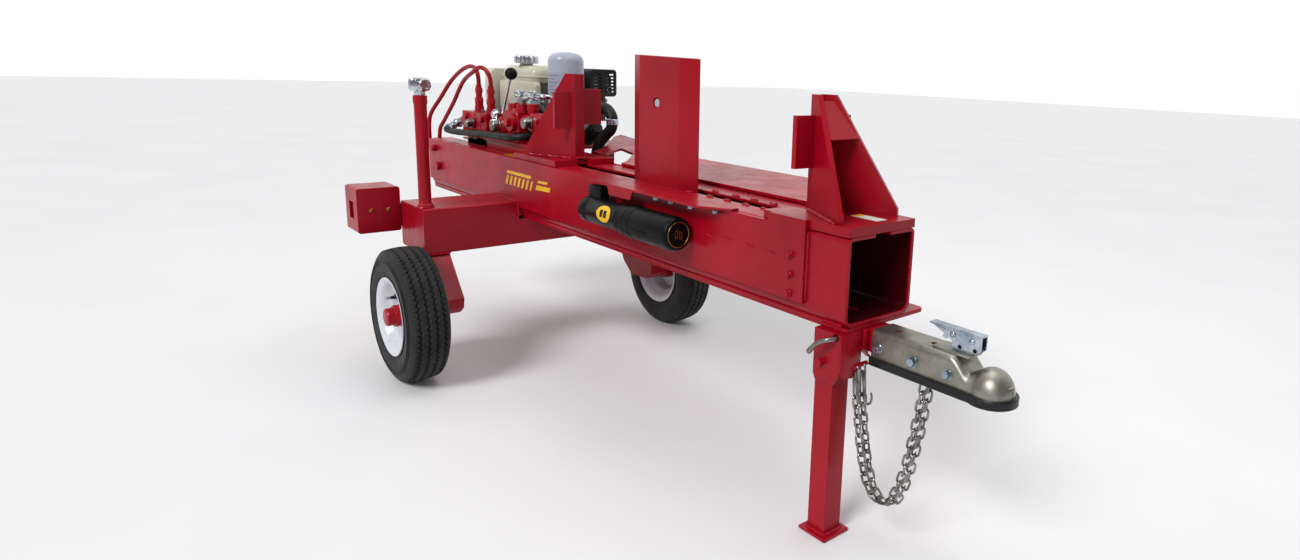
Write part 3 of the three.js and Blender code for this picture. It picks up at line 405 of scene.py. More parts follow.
def turn(axis):
    """Matrix from a shape drawn about +Z to one drawn about the named axis."""
    return {
        "z": Matrix.Identity(4),
        "x": Matrix.Rotation(pi / 2, 4, "Y"),
        "y": Matrix.Rotation(-pi / 2, 4, "X"),
        "-y": Matrix.Rotation(pi / 2, 4, "X"),
        "-x": Matrix.Rotation(-pi / 2, 4, "Y"),
    }[axis]


def lathe(profile, axis, centre, segments=48, shape=None):
    """Surface of revolution of (radius, station) pairs. It closes on the axis or on its first point."""
    bm = bmesh.new()
    closed = profile[0] == profile[-1] and profile[0][0] > 0
    rows = []
    for radius, station in profile[:-1] if closed else profile:
        if radius < 1e-6:
            rows.append([bm.verts.new((0, 0, station))])
            continue
        row = []
        for i in range(segments):
            angle = 2 * pi * i / segments
            reach = radius * (shape(angle, station) if shape else 1)
            row.append(bm.verts.new((reach * cos(angle), reach * sin(angle), station)))
        rows.append(row)
    pairs = list(zip(rows, rows[1:])) + ([(rows[-1], rows[0])] if closed else [])
    for first, second in pairs:
        for i in range(segments):
            j = (i + 1) % segments
            corners = [
                first[i % len(first)], first[j % len(first)], second[j % len(second)],
                second[i % len(second)]
            ]
            unique = list(dict.fromkeys(corners))
            if len(unique) > 2:
                bm.faces.new(unique)
    bm.transform(Matrix.Translation(centre) @ turn(axis))
    return bm


def rod(radius, low, high, axis, centre, segments=32, edge=0.8):
    profile = [
        (0, low), (radius - edge, low), (radius, low + edge), (radius, high - edge), (radius - edge, high),
        (0, high)
    ]
    return lathe(profile, axis, centre, segments)


def hexagon(size, low, high, axis, centre):
    """Hexagon bar end with its corners turned off, size across the corners."""
    radius = size / 2
    crown = radius * 0.12
    profile = [(0, low), (radius, low), (radius, high - crown), (radius * 0.9, high), (0, high)]
    return lathe(profile, axis, centre, 6)


def bolt(bm, axis, centre, size=17, height=7, washer=True):
    """Hexagon head on a washer, standing on the plane through its centre."""
    parts = [hexagon(size, 1.4 if washer else 0, height + 1.4, axis, centre)]
    if washer:
        parts.append(rod(size * 0.62, 0, 1.6, axis, centre, 28, 0.4))
    return merge(bm, *parts)


def dome_bolt(bm, axis, centre, radius=9, height=6):
    profile = [(radius * cos(a), height * sin(a)) for a in (0, 0.4, 0.8, 1.2)] + [(0, height)]
    return merge(bm, lathe([(0, -1), (radius, -1), *profile], axis, centre, 20))


def catmull(points, count):
    """Points along the centripetal Catmull-Rom curve through the given ones, evenly spaced by length."""
    nodes = [Vector(p) for p in points]
    nodes = [2 * nodes[0] - nodes[1], *nodes, 2 * nodes[-1] - nodes[-2]]
    dense = []
    for a, b, c, d in zip(nodes, nodes[1:], nodes[2:], nodes[3:]):
        ab, bc, cd = (max((q - p).length ** 0.5, 1e-4) for p, q in ((a, b), (b, c), (c, d)))
        start = ((b - a) / ab - (c - a) / (ab + bc) + (c - b) / bc) * bc
        end = ((c - b) / bc - (d - b) / (bc + cd) + (d - c) / cd) * bc
        for i in range(24):
            t = i / 24
            cubic = (2 * b - 2 * c + start + end) * t**3 + (3 * c - 3 * b - 2 * start - end) * t**2
            dense.append(cubic + start * t + b)
    dense.append(nodes[-2])
    lengths = [0.0]
    for p, q in zip(dense, dense[1:]):
        lengths.append(lengths[-1] + (q - p).length)
    spaced, k = [], 0
    for i in range(count):
        target = lengths[-1] * i / (count - 1)
        while k < len(dense) - 2 and lengths[k + 1] < target:
            k += 1
        share = (target - lengths[k]) / max(lengths[k + 1] - lengths[k], 1e-9)
        spaced.append(dense[k].lerp(dense[k + 1], min(max(share, 0), 1)))
    return spaced


def sweep(points, radius, sides=16, closed=False):
    """Round bar or hose along points; radius is a number or a function of the share of the way along."""
    bm = bmesh.new()
    points = [Vector(p) for p in points]
    count = len(points)
    tangents = []
    for i in range(count):
        before = points[i - 1] if closed or i else points[0]
        after = points[(i + 1) % count] if closed or i < count - 1 else points[-1]
        tangents.append((after - before).normalized())
    side = tangents[0].orthogonal().normalized()
    rows = []
    for i, (point, tangent) in enumerate(zip(points, tangents)):
        side = (side - tangent * side.dot(tangent)).normalized()
        other = tangent.cross(side)
        reach = radius(i / (count - 1)) if callable(radius) else radius
        row = []
        for k in range(sides):
            angle = 2 * pi * k / sides
            row.append(bm.verts.new(point + (side * cos(angle) + other * sin(angle)) * reach))
        rows.append(row)
    shift = 0
    if closed:
        gaps = [(rows[0][k].co - rows[-1][0].co).length for k in range(sides)]
        shift = gaps.index(min(gaps))
    for first, second, slip in [(a, b, 0) for a, b in zip(rows, rows[1:])] + (
        [(rows[-1], rows[0], shift)] if closed else []
    ):
        for k in range(sides):
            j = (k + 1) % sides
            bm.faces.new((first[k], first[j], second[(j + slip) % sides], second[(k + slip) % sides]))
    if not closed:
        bm.faces.new(rows[0])
        bm.faces.new(rows[-1])
    return bm


def soften(bm, width, segments=2, angle=30):
    edges = [e for e in bm.edges if len(e.link_faces) == 2 and e.calc_face_angle(0) > radians(angle)]
    bmesh.ops.bevel(
        bm, geom=edges, offset=width, segments=segments, profile=0.5, affect="EDGES", clamp_overlap=True
    )
    return bm


def slab(outline, axis, low, high, edge=1.0, steps=2):
    """Prism of an outline in the plane across an axis, with eased edges.

    The outline holds Y and Z for 'x', X and Z for 'y', X and Y for 'z'.
    """
    bm = bmesh.new()
    spots = {
        "x": lambda u, v, w: (w, u, v), "y": lambda u, v, w: (u, w, v), "z": lambda u, v, w: (u, v, w)
    }[axis]
    bottom = [bm.verts.new(spots(u, v, low)) for u, v in outline]
    top = [bm.verts.new(spots(u, v, high)) for u, v in outline]
    bm.faces.new(bottom)
    bm.faces.new(top)
    for i in range(len(outline)):
        j = (i + 1) % len(outline)
        bm.faces.new((bottom[i], bottom[j], top[j], top[i]))
    bmesh.ops.recalc_face_normals(bm, faces=bm.faces)
    return soften(bm, edge, steps) if edge else bm


def block(x0, x1, y0, y1, z0, z1, edge=1.0, steps=2):
    return slab([(x0, y0), (x1, y0), (x1, y1), (x0, y1)], "z", z0, z1, edge, steps)


def rounded(u0, u1, v0, v1, radius, steps=6):
    """Outline of a rectangle with round corners."""
    outline = []
    for cu, cv, start in (
        (u1 - radius, v0 + radius, -90), (u1 - radius, v1 - radius, 0), (u0 + radius, v1 - radius, 90),
        (u0 + radius, v0 + radius, 180)
    ):
        for i in range(steps + 1):
            angle = radians(start + 90 * i / steps)
            outline.append((cu + radius * cos(angle), cv + radius * sin(angle)))
    return outline


def cut(piece, *tools):
    """Takes the tool shapes, drawn in millimetres, out of a placed piece."""
    bm = merge(bmesh.new(), *tools)
    cutter = place("cutter", bm, RED)
    difference = piece.modifiers.new("cut", "BOOLEAN")
    difference.object = cutter
    difference.operation = "DIFFERENCE"
    difference.solver = "EXACT"
    bpy.context.view_layer.update()
    evaluated = piece.evaluated_get(bpy.context.evaluated_depsgraph_get())
    mesh = bpy.data.meshes.new_from_object(evaluated)
    piece.modifiers.clear()
    piece.data = mesh
    mesh.polygons.foreach_set("use_smooth", [True] * len(mesh.polygons))
    mesh.set_sharp_from_angle(angle=radians(36))
    bpy.data.objects.remove(cutter)
    return piece


def weld_bead(bm, start, end, radius=4.5, pitch=7.0):
    """Rippled fillet of weld metal between two points."""
    start, end = Vector(start), Vector(end)
    count = max(int((end - start).length / 2.2), 4)
    points = []
    for i in range(count + 1):
        wander = Vector((random.uniform(-0.5, 0.5), random.uniform(-0.5, 0.5), random.uniform(-0.5, 0.5)))
        points.append(start.lerp(end, i / count) + wander)
    length = (end - start).length

    def swell(t):
        ends = min(1.0, 0.55 + 4 * min(t, 1 - t))
        return radius * ends * (1 + 0.13 * sin(2 * pi * t * length / pitch))

    return merge(bm, sweep(points, swell, 8))


# ---------- Wheels ----------
def tread_depth(across, turned_by):
    """How far the tread is cut in at a station across it and an angle round it, in millimetres."""
    wave = 3.6 * (4 * abs((turned_by * TREAD_WAVES / (2 * pi)) % 1 - 0.5) - 1)
    depth = 0.0
    for groove in (-35, -12, 12, 35):
        gap = abs(across - groove - wave)
        depth = max(depth, 6 * min(1, max(0, (3.8 - gap) / 1.6)))
    if 42 < abs(across) < 50 and (turned_by * SHOULDER_BLOCKS / (2 * pi)) % 1 < 0.3:
        depth = max(depth, 2.4)
    return depth


def tyre(side, label):
    shoulder = [
        (108, 42), (113, 47), (126, 54.5), (142, 59.5), (158, 61), (172, 60), (184, 57.2), (194, 52.5),
        (200, 48)
    ]
    crown = [(207 - 5.2 * (s / 47) ** 2, s) for s in [46.5 - 1.94 * i for i in range(48)]]
    outer = [(r, -s) for r, s in shoulder] + [(r, -s) for r, s in crown] + [
        (r, s) for r, s in reversed(shoulder)
    ]
    inner = [(122, 38), (150, 48), (178, 44), (190, 30), (190, -30), (178, -44), (150, -48), (122, -38)]
    ring = outer + inner
    bm = bmesh.new()
    rows = []
    for radius, across in ring:
        row = []
        for i in range(TYRE_STEPS):
            angle = 2 * pi * i / TYRE_STEPS
            depth = tread_depth(across, angle) if radius > 199 else 0
            if 186 < radius <= 200:
                depth = 1.2 if (angle * SHOULDER_BLOCKS / (2 * pi)) % 1 < 0.4 else 0
            reach = radius - depth
            row.append(bm.verts.new((reach * cos(angle), across, reach * sin(angle))))
        rows.append(row)
    for k, first in enumerate(rows):
        second = rows[(k + 1) % len(rows)]
        for i in range(TYRE_STEPS):
            j = (i + 1) % TYRE_STEPS
            bm.faces.new((first[i], first[j], second[j], second[i]))
    for radius, across in ((119, 52.4), (176, 60.2), (168, 61.6)):
        outward = side * across
        torus = [
            (
                radius + 1.3 * cos(a), outward + 1.3 * sin(a)
            ) for a in [2 * pi * n / 8 for n in range(9)]
        ]
        torus[-1] = torus[0]
        merge(bm, lathe(torus, "y", (0, 0, 0), 162))
    bm.transform(Matrix.Translation((WHEEL["x"], side * WHEEL["y"], WHEEL["z"])))
    place(f"tyre_moulded_{label}", bm, TYRE, f"wheel_{label}", 40, [f"tyre_{label}"])


def rim(side, label):
    edge, seat, well = 43, 107, 91
    section = [
        (34, 6), (50, 6.5), (62, 12), (74, 13), (79, 6), (79, -20), (82, -24), (88, -28),
        (seat - 12, -edge + 5), (seat - 7, -edge - 3), (seat - 3, -edge - 8), (seat + 8, -edge - 14.5),
        (seat + 13, -edge - 16), (seat + 14, -edge - 14), (seat + 12, -edge - 12), (seat + 4, -edge - 8),
        (seat - 1.8, -edge), (seat - 8, -edge + 3), (well - 4, -24), (well - 4, 24), (seat - 8, edge - 3),
        (seat - 1.8, edge), (seat + 4, edge + 8), (seat + 12, edge + 12), (seat + 14, edge + 14),
        (seat + 13, edge + 16), (seat + 8, edge + 14.5), (seat - 3, edge + 8), (seat - 7, edge + 3),
        (seat - 12, edge - 5), (88, 26), (81, 22), (80, 17), (74, 18), (62, 17), (50, 11.5), (34, 11),
        (34, 6),
    ]
    centre = (WHEEL["x"], side * WHEEL["y"], WHEEL["z"])
    axis = "y" if side > 0 else "-y"
    place(
        f"rim_pressed_{label}", lathe(section, axis, centre, 96), WHITE, f"wheel_{label}",
        40, [f"rim_{label}"]
    )
    stem = bmesh.new()
    spot = Vector((WHEEL["x"] - 58, side * (WHEEL["y"] + 17), WHEEL["z"] + 42))
    merge(stem, lathe([(0, -3), (8, -3), (8.5, 0), (6, 4), (4.8, 14), (4.2, 20), (0, 20)], axis, spot, 20))
    place(f"valve_stem_{label}", stem, HOSE, f"wheel_{label}")
    tip = lathe([(0, 19), (4.4, 19), (4.6, 21), (4.4, 29), (3.4, 31), (0, 31)], axis, spot, 16,
                lambda a, s: 1 + 0.05 * sin(a * 8))
    place(f"valve_tip_{label}", tip, ZINC, f"wheel_{label}")
    nuts = bmesh.new()
    for i in range(4):
        angle = pi / 4 + i * pi / 2
        x = WHEEL["x"] + 50 * cos(angle)
        z = WHEEL["z"] + 50 * sin(angle)
        bolt(nuts, axis, (x, side * (WHEEL["y"] + 11.6), z), 15, 8, False)
    place(f"wheel_nuts_{label}", nuts, ZINC, f"wheel_{label}")


def hub(side, label):
    out = 70
    profile = [
        (19.6, -30), (30, -30), (32, -28), (33, 0), (33.5, 11.8), (38, 12.6), (41, 14), (41, 20), (39, 22),
        (34, 23.5), (33, 26), (33, 44), (31.5, 46.5), (27.4, 47.5), (27, 50), (27, out - 5),
        (24.5, out - 1.5), (20, out), (0, out), (0, out - 6), (17, out - 7), (19.6, 44), (19.6, -30),
    ]
    centre = (WHEEL["x"], side * WHEEL["y"], WHEEL["z"])
    axis = "y" if side > 0 else "-y"
    bm = lathe(profile, axis, centre, 64)
    merge(bm, rod(4, 28, 34, "x", (WHEEL["x"], side * (WHEEL["y"] + 35), WHEEL["z"]), 14))
    place(f"hub_turned_{label}", bm, RED, f"wheel_{label}", 34, [f"hub_{label}"])


# ---------- Beam and footplates ----------
def beam_details():
    heads = bmesh.new()
    for z in (601, 558, 517):
        dome_bolt(heads, "-y", (-152, -BEAM_SIDE, z), 9.5, 7)
        bolt(heads, "-y", (-152, -BEAM_SIDE - 1, z), 15, 7, False)
        bolt(heads, "y", (-152, BEAM_SIDE, z), 17, 7)
    merge(heads, rod(13, 0, 12, "-y", (-2177, -BEAM_SIDE, 628)))
    merge(heads, hexagon(24, 12, 20, "-y", (-2177, -BEAM_SIDE, 628)))
    place("side_plate_bolts", heads, RED)
    beads = bmesh.new()
    for x in (-588, -504, -435, -365, -300):
        weld_bead(beads, (x - 12, 32, BEAM_TOP), (x + 12, 32, BEAM_TOP), 5.5, 9)
        weld_bead(beads, (x - 40, -31, BEAM_TOP), (x - 18, -31, BEAM_TOP), 4.5, 9)
    for x in (-428, -354, -280, -216):
        weld_bead(beads, (x - 16, -BEAM_SIDE + 0.6, 596), (x + 14, -BEAM_SIDE + 0.6, 594), 3.6, 9)
    for x in range(-2200, -300, 190):
        for y in (-106, 106):
            weld_bead(beads, (x, y, 501), (x + 60, y, 501), 3.6, 8)
    for y in (-106.5, 106.5):
        weld_bead(beads, (-111, y, 508), (-111, y, 655), 3.4, 8)
    for side in (-1, 1):
        merge(
            beads,
            sweep(
                [(-2246 + 8 * k, side * 96, 476) for k in range(280)],
                lambda t: 4.6 + 0.4 * sin(t * 900), 8
            )
        )
    place("beam_weld_beads", beads, RED)
    lips = merge(
        bmesh.new(), block(-13, 0.5, 97.6, 104.4, 590, 646, 2.4),
        block(-13, 0.5, -104.4, -97.6, 512, 566, 2.4), block(-90, -60, -8, 8, 474.5, 484, 3)
    )
    place("mouth_tabs", lips, RED)
    nub = bmesh.new()
    merge(nub, block(-268, -252, -84, -66, 662.5, 676, 3))
    bolt(nub, "-x", (-268, -75, 669), 13, 5, False)
    place("footplate_stop_bolt", nub, RED)


def footplate_welds(label, face, toe):
    """Welds at the foot of both webs, along the face plate and up its back."""
    beads = bmesh.new()
    toward = copysign(1, toe - face)
    foot = BASE_PLATE_TOP + 1.5
    for side in (-1, 1):
        weld_bead(beads, (face + toward * 8, side * 25, foot), (toe - toward * 6, side * 101, foot), 4.6, 7)
    front = face - toward * 1.5
    weld_bead(beads, (front, -17, BASE_PLATE_TOP + 1), (front, 17, BASE_PLATE_TOP + 1), 5.2, 7)
    back = face + toward * 11
    for side in (-1, 1):
        weld_bead(beads, (back, side * 19, 778), (back, side * 19, 884), 2.8, 7)
    place(f"{label}_weld_beads", beads, RED)


# ---------- Labels ----------
def patch_on_cylinder(name, centre_x, centre_angle, width, height, shape, finish, radius):
    """Thin label bent round the canister, drawn as a grid kept inside shape(u, v)."""
    bm = bmesh.new()
    y0, z0 = CANISTER["y"], CANISTER["z"]
    across, along = 24, 24
    grid = {}
    for i in range(along + 1):
        for k in range(across + 1):
            u, v = 2 * i / along - 1, 2 * k / across - 1
            u, v = shape(u, v)
            angle = centre_angle + v * height / 2 / radius
            for level in (0.2, 0.6):
                reach = radius + level
                grid[i, k, level] = bm.verts.new(
                    (centre_x + u * width / 2, y0 - reach * cos(angle), z0 + reach * sin(angle))
                )
    for i in range(along):
        for k in range(across):
            for level in (0.2, 0.6):
                bm.faces.new([grid[a, b, level] for a, b in ((i, k), (i + 1, k), (i + 1, k + 1), (i, k + 1))])
    rim_keys = [(i, 0) for i in range(along)] + [(along, k) for k in range(across)]
    rim_keys += [(i, across) for i in range(along, 0, -1)] + [(0, k) for k in range(across, 0, -1)]
    for a, b in zip(rim_keys, rim_keys[1:] + rim_keys[:1]):
        bm.faces.new([grid[*a, 0.2], grid[*b, 0.2], grid[*b, 0.6], grid[*a, 0.6]])
    place(name, bm, finish, "frame", 30)


def square(u, v):
    return u, v


def disc(u, v):
    """Maps the square onto the unit disc."""
    return u * sqrt(1 - v * v / 2), v * sqrt(1 - u * u / 2)


def beam_marks():
    marks = bmesh.new()
    y = -BEAM_SIDE - 0.2
    outlines = []
    for k in range(7):
        x = -1538 + k * 30
        outlines.append([(x, 570), (x + 17 - k, 570), (x + 33 - k, 602), (x + 16, 602)])
    outlines.append([(-1316, 578), (-1222, 582), (-1214, 596), (-1308, 594)])
    outlines.append([(-1300, 602), (-1238, 604), (-1232, 612), (-1294, 610)])
    outlines.append([(-1526, 608), (-1350, 608), (-1344, 618), (-1520, 618)])
    for outline in outlines:
        merge(marks, slab(outline, "y", y - 0.6, y, 0))
    place("beam_side_mark", marks, YELLOW)
    top = merge(
        bmesh.new(),
        slab(
            [(-1590, -96), (-1508, -96), (-1508, -54), (-1590, -54)], "z", BEAM_TOP + 0.1, BEAM_TOP + 0.6, 0
        )
    )
    place("beam_top_label", top, YELLOW)
    band = merge(
        bmesh.new(),
        slab(
            [(-1580, -90), (-1518, -90), (-1518, -84), (-1580, -84)], "z", BEAM_TOP + 0.6, BEAM_TOP + 0.9, 0
        ),
        slab(
            [(-1580, -78), (-1534, -78), (-1534, -74), (-1580, -74)], "z", BEAM_TOP + 0.6, BEAM_TOP + 0.9, 0
        )
    )
    place("beam_top_label_bands", band, INK)
    base = BASE_PLATE_TOP + 0.1
    plate = merge(bmesh.new(), slab([(-96, 4), (-22, 4), (-22, 36), (-96, 36)], "z", base, base + 0.6, 0))
    place("base_plate_label", plate, LABEL)
    stripe = merge(
        bmesh.new(), slab([(-94, 6), (-78, 6), (-78, 34), (-94, 34)], "z", base + 0.6, base + 0.9, 0)
    )
    place("base_plate_label_stripe", stripe, YELLOW)


# ---------- Canister ----------
def canister():
    y, z = CANISTER["y"], CANISTER["z"]
    body = [
        (0, -901), (24, -902), (29, -905), (33, -903), (36, -895), (36, -870), (35, -867), (35, -862),
        (36, -859), (36, -724), (37.2, -721), (37.2, -712), (36, -709), (36, -690.5), (32, -690.3),
        (32, -630), (29, -630), (29, -891), (0, -891),
    ]
    tube = lathe(body, "x", (0, y, z), 72)
    place("canister_barrel", tube, PLASTIC, "frame", 34, ["canister_tube"])
    foot = merge(bmesh.new(), block(-865, -825, y + 30, -BEAM_SIDE - 0.6, z - 18, z + 18, 2))
    place("canister_foot", foot, PLASTIC, "frame")
    lid = [
        (32.4, -690), (38, -690), (40.4, -688), (41.2, -682), (41.2, -668), (39.6, -664), (39.6, -654),
        (41.2, -650), (42, -640), (42, -500), (41.4, -492), (39, -487), (35.5, -484.6), (34.5, -484.2),
        (34, -484.8), (32, -485.2), (30, -484.6), (0, -484.8), (0, -489), (32.4, -490), (32.4, -690),
    ]
    place(
        "canister_lid", lathe(lid, "x", (0, y, z), 72), PLASTIC, "canister_lid", 34,
        ["canister_cap"]
    )
    ring = [
        (
            30.5 + 1.1 * cos(a), -484.4 + 1.1 * sin(a)
        ) for a in [2 * pi * n / 8 for n in range(8)]
    ]
    ring.append(ring[0])
    trim = lathe(ring, "x", (0, y, z), 72)
    for dy, lean in ((-9.5, 4), (2.5, -4)):
        page = [(y + dy, z - 9), (y + dy + 8, z - 9 + lean), (y + dy + 8, z + 9 + lean), (y + dy, z + 9)]
        inner = [
            (y + dy + 1.6, z - 6.8), (y + dy + 6.4, z - 6.8 + lean), (y + dy + 6.4, z + 6.8 + lean),
            (y + dy + 1.6, z + 6.8)
        ]
        for k in range(4):
            j = (k + 1) % 4
            merge(trim, slab([page[k], page[j], inner[j], inner[k]], "x", -484.9, -483.8, 0))
    place("canister_lid_mark", trim, BRASS, "canister_lid")
    patch_on_cylinder("canister_oval_mark", -768, 0.24, 66, 46, disc, YELLOW, 36)
    for k, x in enumerate((-777, -759)):
        patch_on_cylinder(f"canister_oval_page_{k}", x, 0.24, 13.3, 19, square, INK, 36.5)
    strap = merge(
        bmesh.new(), block(-893, -830, y - 6, y + 22, z + 20, 655.5, 2),
        lathe([(36.2, -712), (38.6, -711), (38.6, -692), (36.2, -691), (36.2, -712)], "x", (0, y, z), 72),
        block(-664, -560, y - 43.5, y - 20, z - 10, z - 4, 2)
    )
    place("canister_strap", strap, PLASTIC, "frame")
    grip = lathe([(42.1, -668), (43, -667), (43, -645), (42.1, -644), (42.1, -668)], "x", (0, y, z), 72)
    place("canister_grip_band", grip, PLASTIC, "canister_lid")
    nuts = bmesh.new()
    for x in (-612, -548, -470, -392):
        bolt(nuts, "z", (x, -138 if x < -400 else -126, 652), 14, 6)
    place("guard_nuts", nuts, ZINC, "frame")


# ---------- Hitch ----------
def coupler_section(x, inset):
    """Half width, roof height and squareness of the pressed coupler at a station."""
    ball, low = COUPLER["ball"], COUPLER["low"]
    dome = 43 - inset
    reach = sqrt(max(0.0, 1 - ((x - ball) / dome) ** 2))
    fade = min(1, max(0, (x - 200) / 58))
    fade = fade * fade * (3 - 2 * fade)
    bar_half = 38 - inset if x < ball else 0
    bar_roof = (62 - inset) * (1 - fade) + 26 * fade
    half = max(dome * reach, bar_half)
    gap = (51 - inset) * reach - bar_roof
    roof = max((51 - inset) * reach, bar_roof) + 3 * exp(-((gap / 9) ** 2)) * (x < ball)
    return half, low + roof, 7.5 * (1 - fade) + 2.15 * fade


def coupler():
    bm = bmesh.new()
    rear, ball, low = COUPLER["rear"], COUPLER["ball"], COUPLER["low"]
    stations = [rear + 6 * i for i in range(32)] + [206 + 3 * i for i in range(24)]
    stations += [
        ball + 42.9 * sin(radians(a)) for a in (6, 14, 22, 30, 38, 46, 54, 61, 68, 74, 80, 85, 89)
    ]
    shells = []
    for inset in (0, 3.4):
        rows = []
        for x in stations:
            limit = ball + (43 - inset) * 0.9995
            station = min(x, limit)
            half, roof, power = coupler_section(station, inset)
            row = []
            for k in range(33):
                angle = pi * k / 32
                c, s = cos(angle), sin(angle)
                y = half * copysign(abs(c) ** (2 / power), c)
                z = low + (roof - low) * abs(s) ** (2 / power)
                row.append(bm.verts.new((station, y, z)))
            rows.append(row)
        for first, second in zip(rows, rows[1:]):
            for k in range(32):
                bm.faces.new((first[k], first[k + 1], second[k + 1], second[k]))
        shells.append(rows)
    outer, inner = shells
    for side in (0, -1):
        for k in range(len(stations) - 1):
            bm.faces.new((outer[k][side], outer[k + 1][side], inner[k + 1][side], inner[k][side]))
    for k in range(32):
        bm.faces.new((outer[0][k], outer[0][k + 1], inner[0][k + 1], inner[0][k]))
        bm.faces.new((outer[-1][k], outer[-1][k + 1], inner[-1][k + 1], inner[-1][k]))
    merge(bm, block(153, 236, -23, 23, 466, 471, 1.5))
    merge(
        bm,
        slab(
            [
                (222, 466), (242, 466), (242, 496), (240, 502), (236, 506), (229, 506), (224, 502),
                (222, 496)
            ],
            "y", -6, 6, 1.5
        )
    )
    shell = place("coupler_pressing", bm, GREY_STEEL, "frame", 32, ["coupler"])
    holes = [rod(7, 450, 480, "z", (x, -4, 0), 24, 0) for x in (60, 146)]
    cut(shell, *holes)
    strip = bmesh.new()
    outline = [(rear, 38)] + [(x, coupler_section(x, 0)[0]) for x in stations if x < ball]
    outline += [
        (ball + 43 * sin(radians(a)), 43 * cos(radians(a))) for a in range(6, 90, 6)
    ] + [(ball + 43, 0)]
    full = outline + [(x, -y) for x, y in reversed(outline[:-1])]
    rows = []
    for grow, z in ((-3.6, 409), (5.6, 409), (6.8, 407.5), (6.8, 394), (5.6, 392.6), (-3.6, 392.6)):
        row = []
        for k, (x, y) in enumerate(full):
            before, after = full[max(k - 1, 0)], full[min(k + 1, len(full) - 1)]
            along = Vector((after[0] - before[0], after[1] - before[1])).normalized()
            row.append(strip.verts.new((x - along.y * grow, y + along.x * grow, z)))
        rows.append(row)
    for first, second in zip(rows, rows[1:] + rows[:1]):
        for k in range(len(full) - 1):
            strip.faces.new((first[k], first[k + 1], second[k + 1], second[k]))
    strip.faces.new([row[0] for row in rows])
    strip.faces.new([row[-1] for row in rows])
    place("coupler_flange_strip", strip, BLACK_ENAMEL, "frame", 32)
    bolts = bmesh.new()
    for x, size in ((35, 19), (122, 19), (203, 17)):
        bolt(bolts, "-y", (x, -38.2, 430), size, 8)
        bolt(bolts, "y", (x, 38.2, 430), size, 9)
        merge(bolts, rod(5, 9, 14, "y", (x, 38.2, 430), 18))
        if x < 150:
            merge(bolts, rod(5.2, -37, 37, "y", (x, 0, 430), 18))
    place("coupler_bolts", bolts, ZINC, "frame")
    socket = merge(
        bmesh.new(),
        lathe(
            [
                (27, 398.6), (38, 398.6), (38, 403), (29, 404), (29, 412), (20, 426), (0, 431), (0, 427),
                (18, 422), (26, 411), (27, 398.6)
            ],
            "z", (ball, 0, 0), 40
        )
    )
    place("coupler_ball_seat", socket, BARE, "frame")


def latch_details():
    rivets = bmesh.new()
    holes = bmesh.new()
    for axis, y in (("-y", -10.5), ("y", 10.5)):
        for x, z in ((190, 500), (232, 496)):
            merge(
                rivets,
                lathe([(0, -1), (6, -1), (6, 1), (5, 2.6), (2.6, 3.6), (0, 3.8)], axis, (x, y, z), 22)
            )
        for x, z in ((207, 480), (240, 481)):
            # Thin black discs of painted shadow stand for the holes.
            merge(holes, lathe([(0, 0), (4.4, 0), (4.4, 0.3), (0, 0.3)], axis, (x, y, z), 20))
            merge(rivets, lathe([(4.4, 0), (5.8, 0), (5.4, 0.8), (4.4, 0.8), (4.4, 0)], axis, (x, y, z), 20))
    place("latch_rivets", rivets, ZINC, "latch")
    place("latch_hole_painted_shadows", holes, SHADOW, "latch")


def jack():
    pin = bmesh.new()
    x, y, z = -14, -81, 455
    route = [
        (x, y + 42, z), (x, y, z), (x, y - 44, z), (x - 6, y - 53, z - 1), (x - 26, y - 58, z - 12),
        (x - 48, y - 60, z - 36)
    ]
    merge(pin, sweep(catmull(route, 40), 5.5, 18))
    place("jack_lock_rod", pin, BARE, "lock_pin", 36, ["jack_pin"])
    beads = bmesh.new()
    for a, b in (
        ((-75, -108), (-21, -108)), ((-21, -108), (-21, -54)), ((-21, -54), (-75, -54)),
        ((-75, -54), (-75, -108))
    ):
        weld_bead(beads, (*a, 8), (*b, 8), 3.4, 7)
    place("jack_foot_welds", beads, RED, "jack")
    pivot = bmesh.new()
    bolt(pivot, "-y", (-48, -119, 396), 17, 6, False)
    merge(
        pivot,
        slab(
            [(-113, 463.6), (-113, 384), (-100, 366), (-62, 366), (-49, 384), (-49, 463.6)], "x", -2.6, 1.4,
            1
        )
    )
    merge(pivot, slab([(-47, 463.6), (-47, 418), (-32, 405), (-32, 463.6)], "x", -2.6, 6, 1))
    place("jack_pivot_head", pivot, RED)


def stadium(length, width, count=20):
    """Closed oval path, long along X, in the XY plane."""
    radius = width / 2
    straight = length / 2 - radius
    path = []
    for sign, start in ((1, -90), (-1, 90)):
        for i in range(count // 2):
            angle = radians(start + 180 * i / (count // 2 - 1))
            path.append(Vector((sign * straight + radius * cos(angle), radius * sin(angle), 0)))
    return path


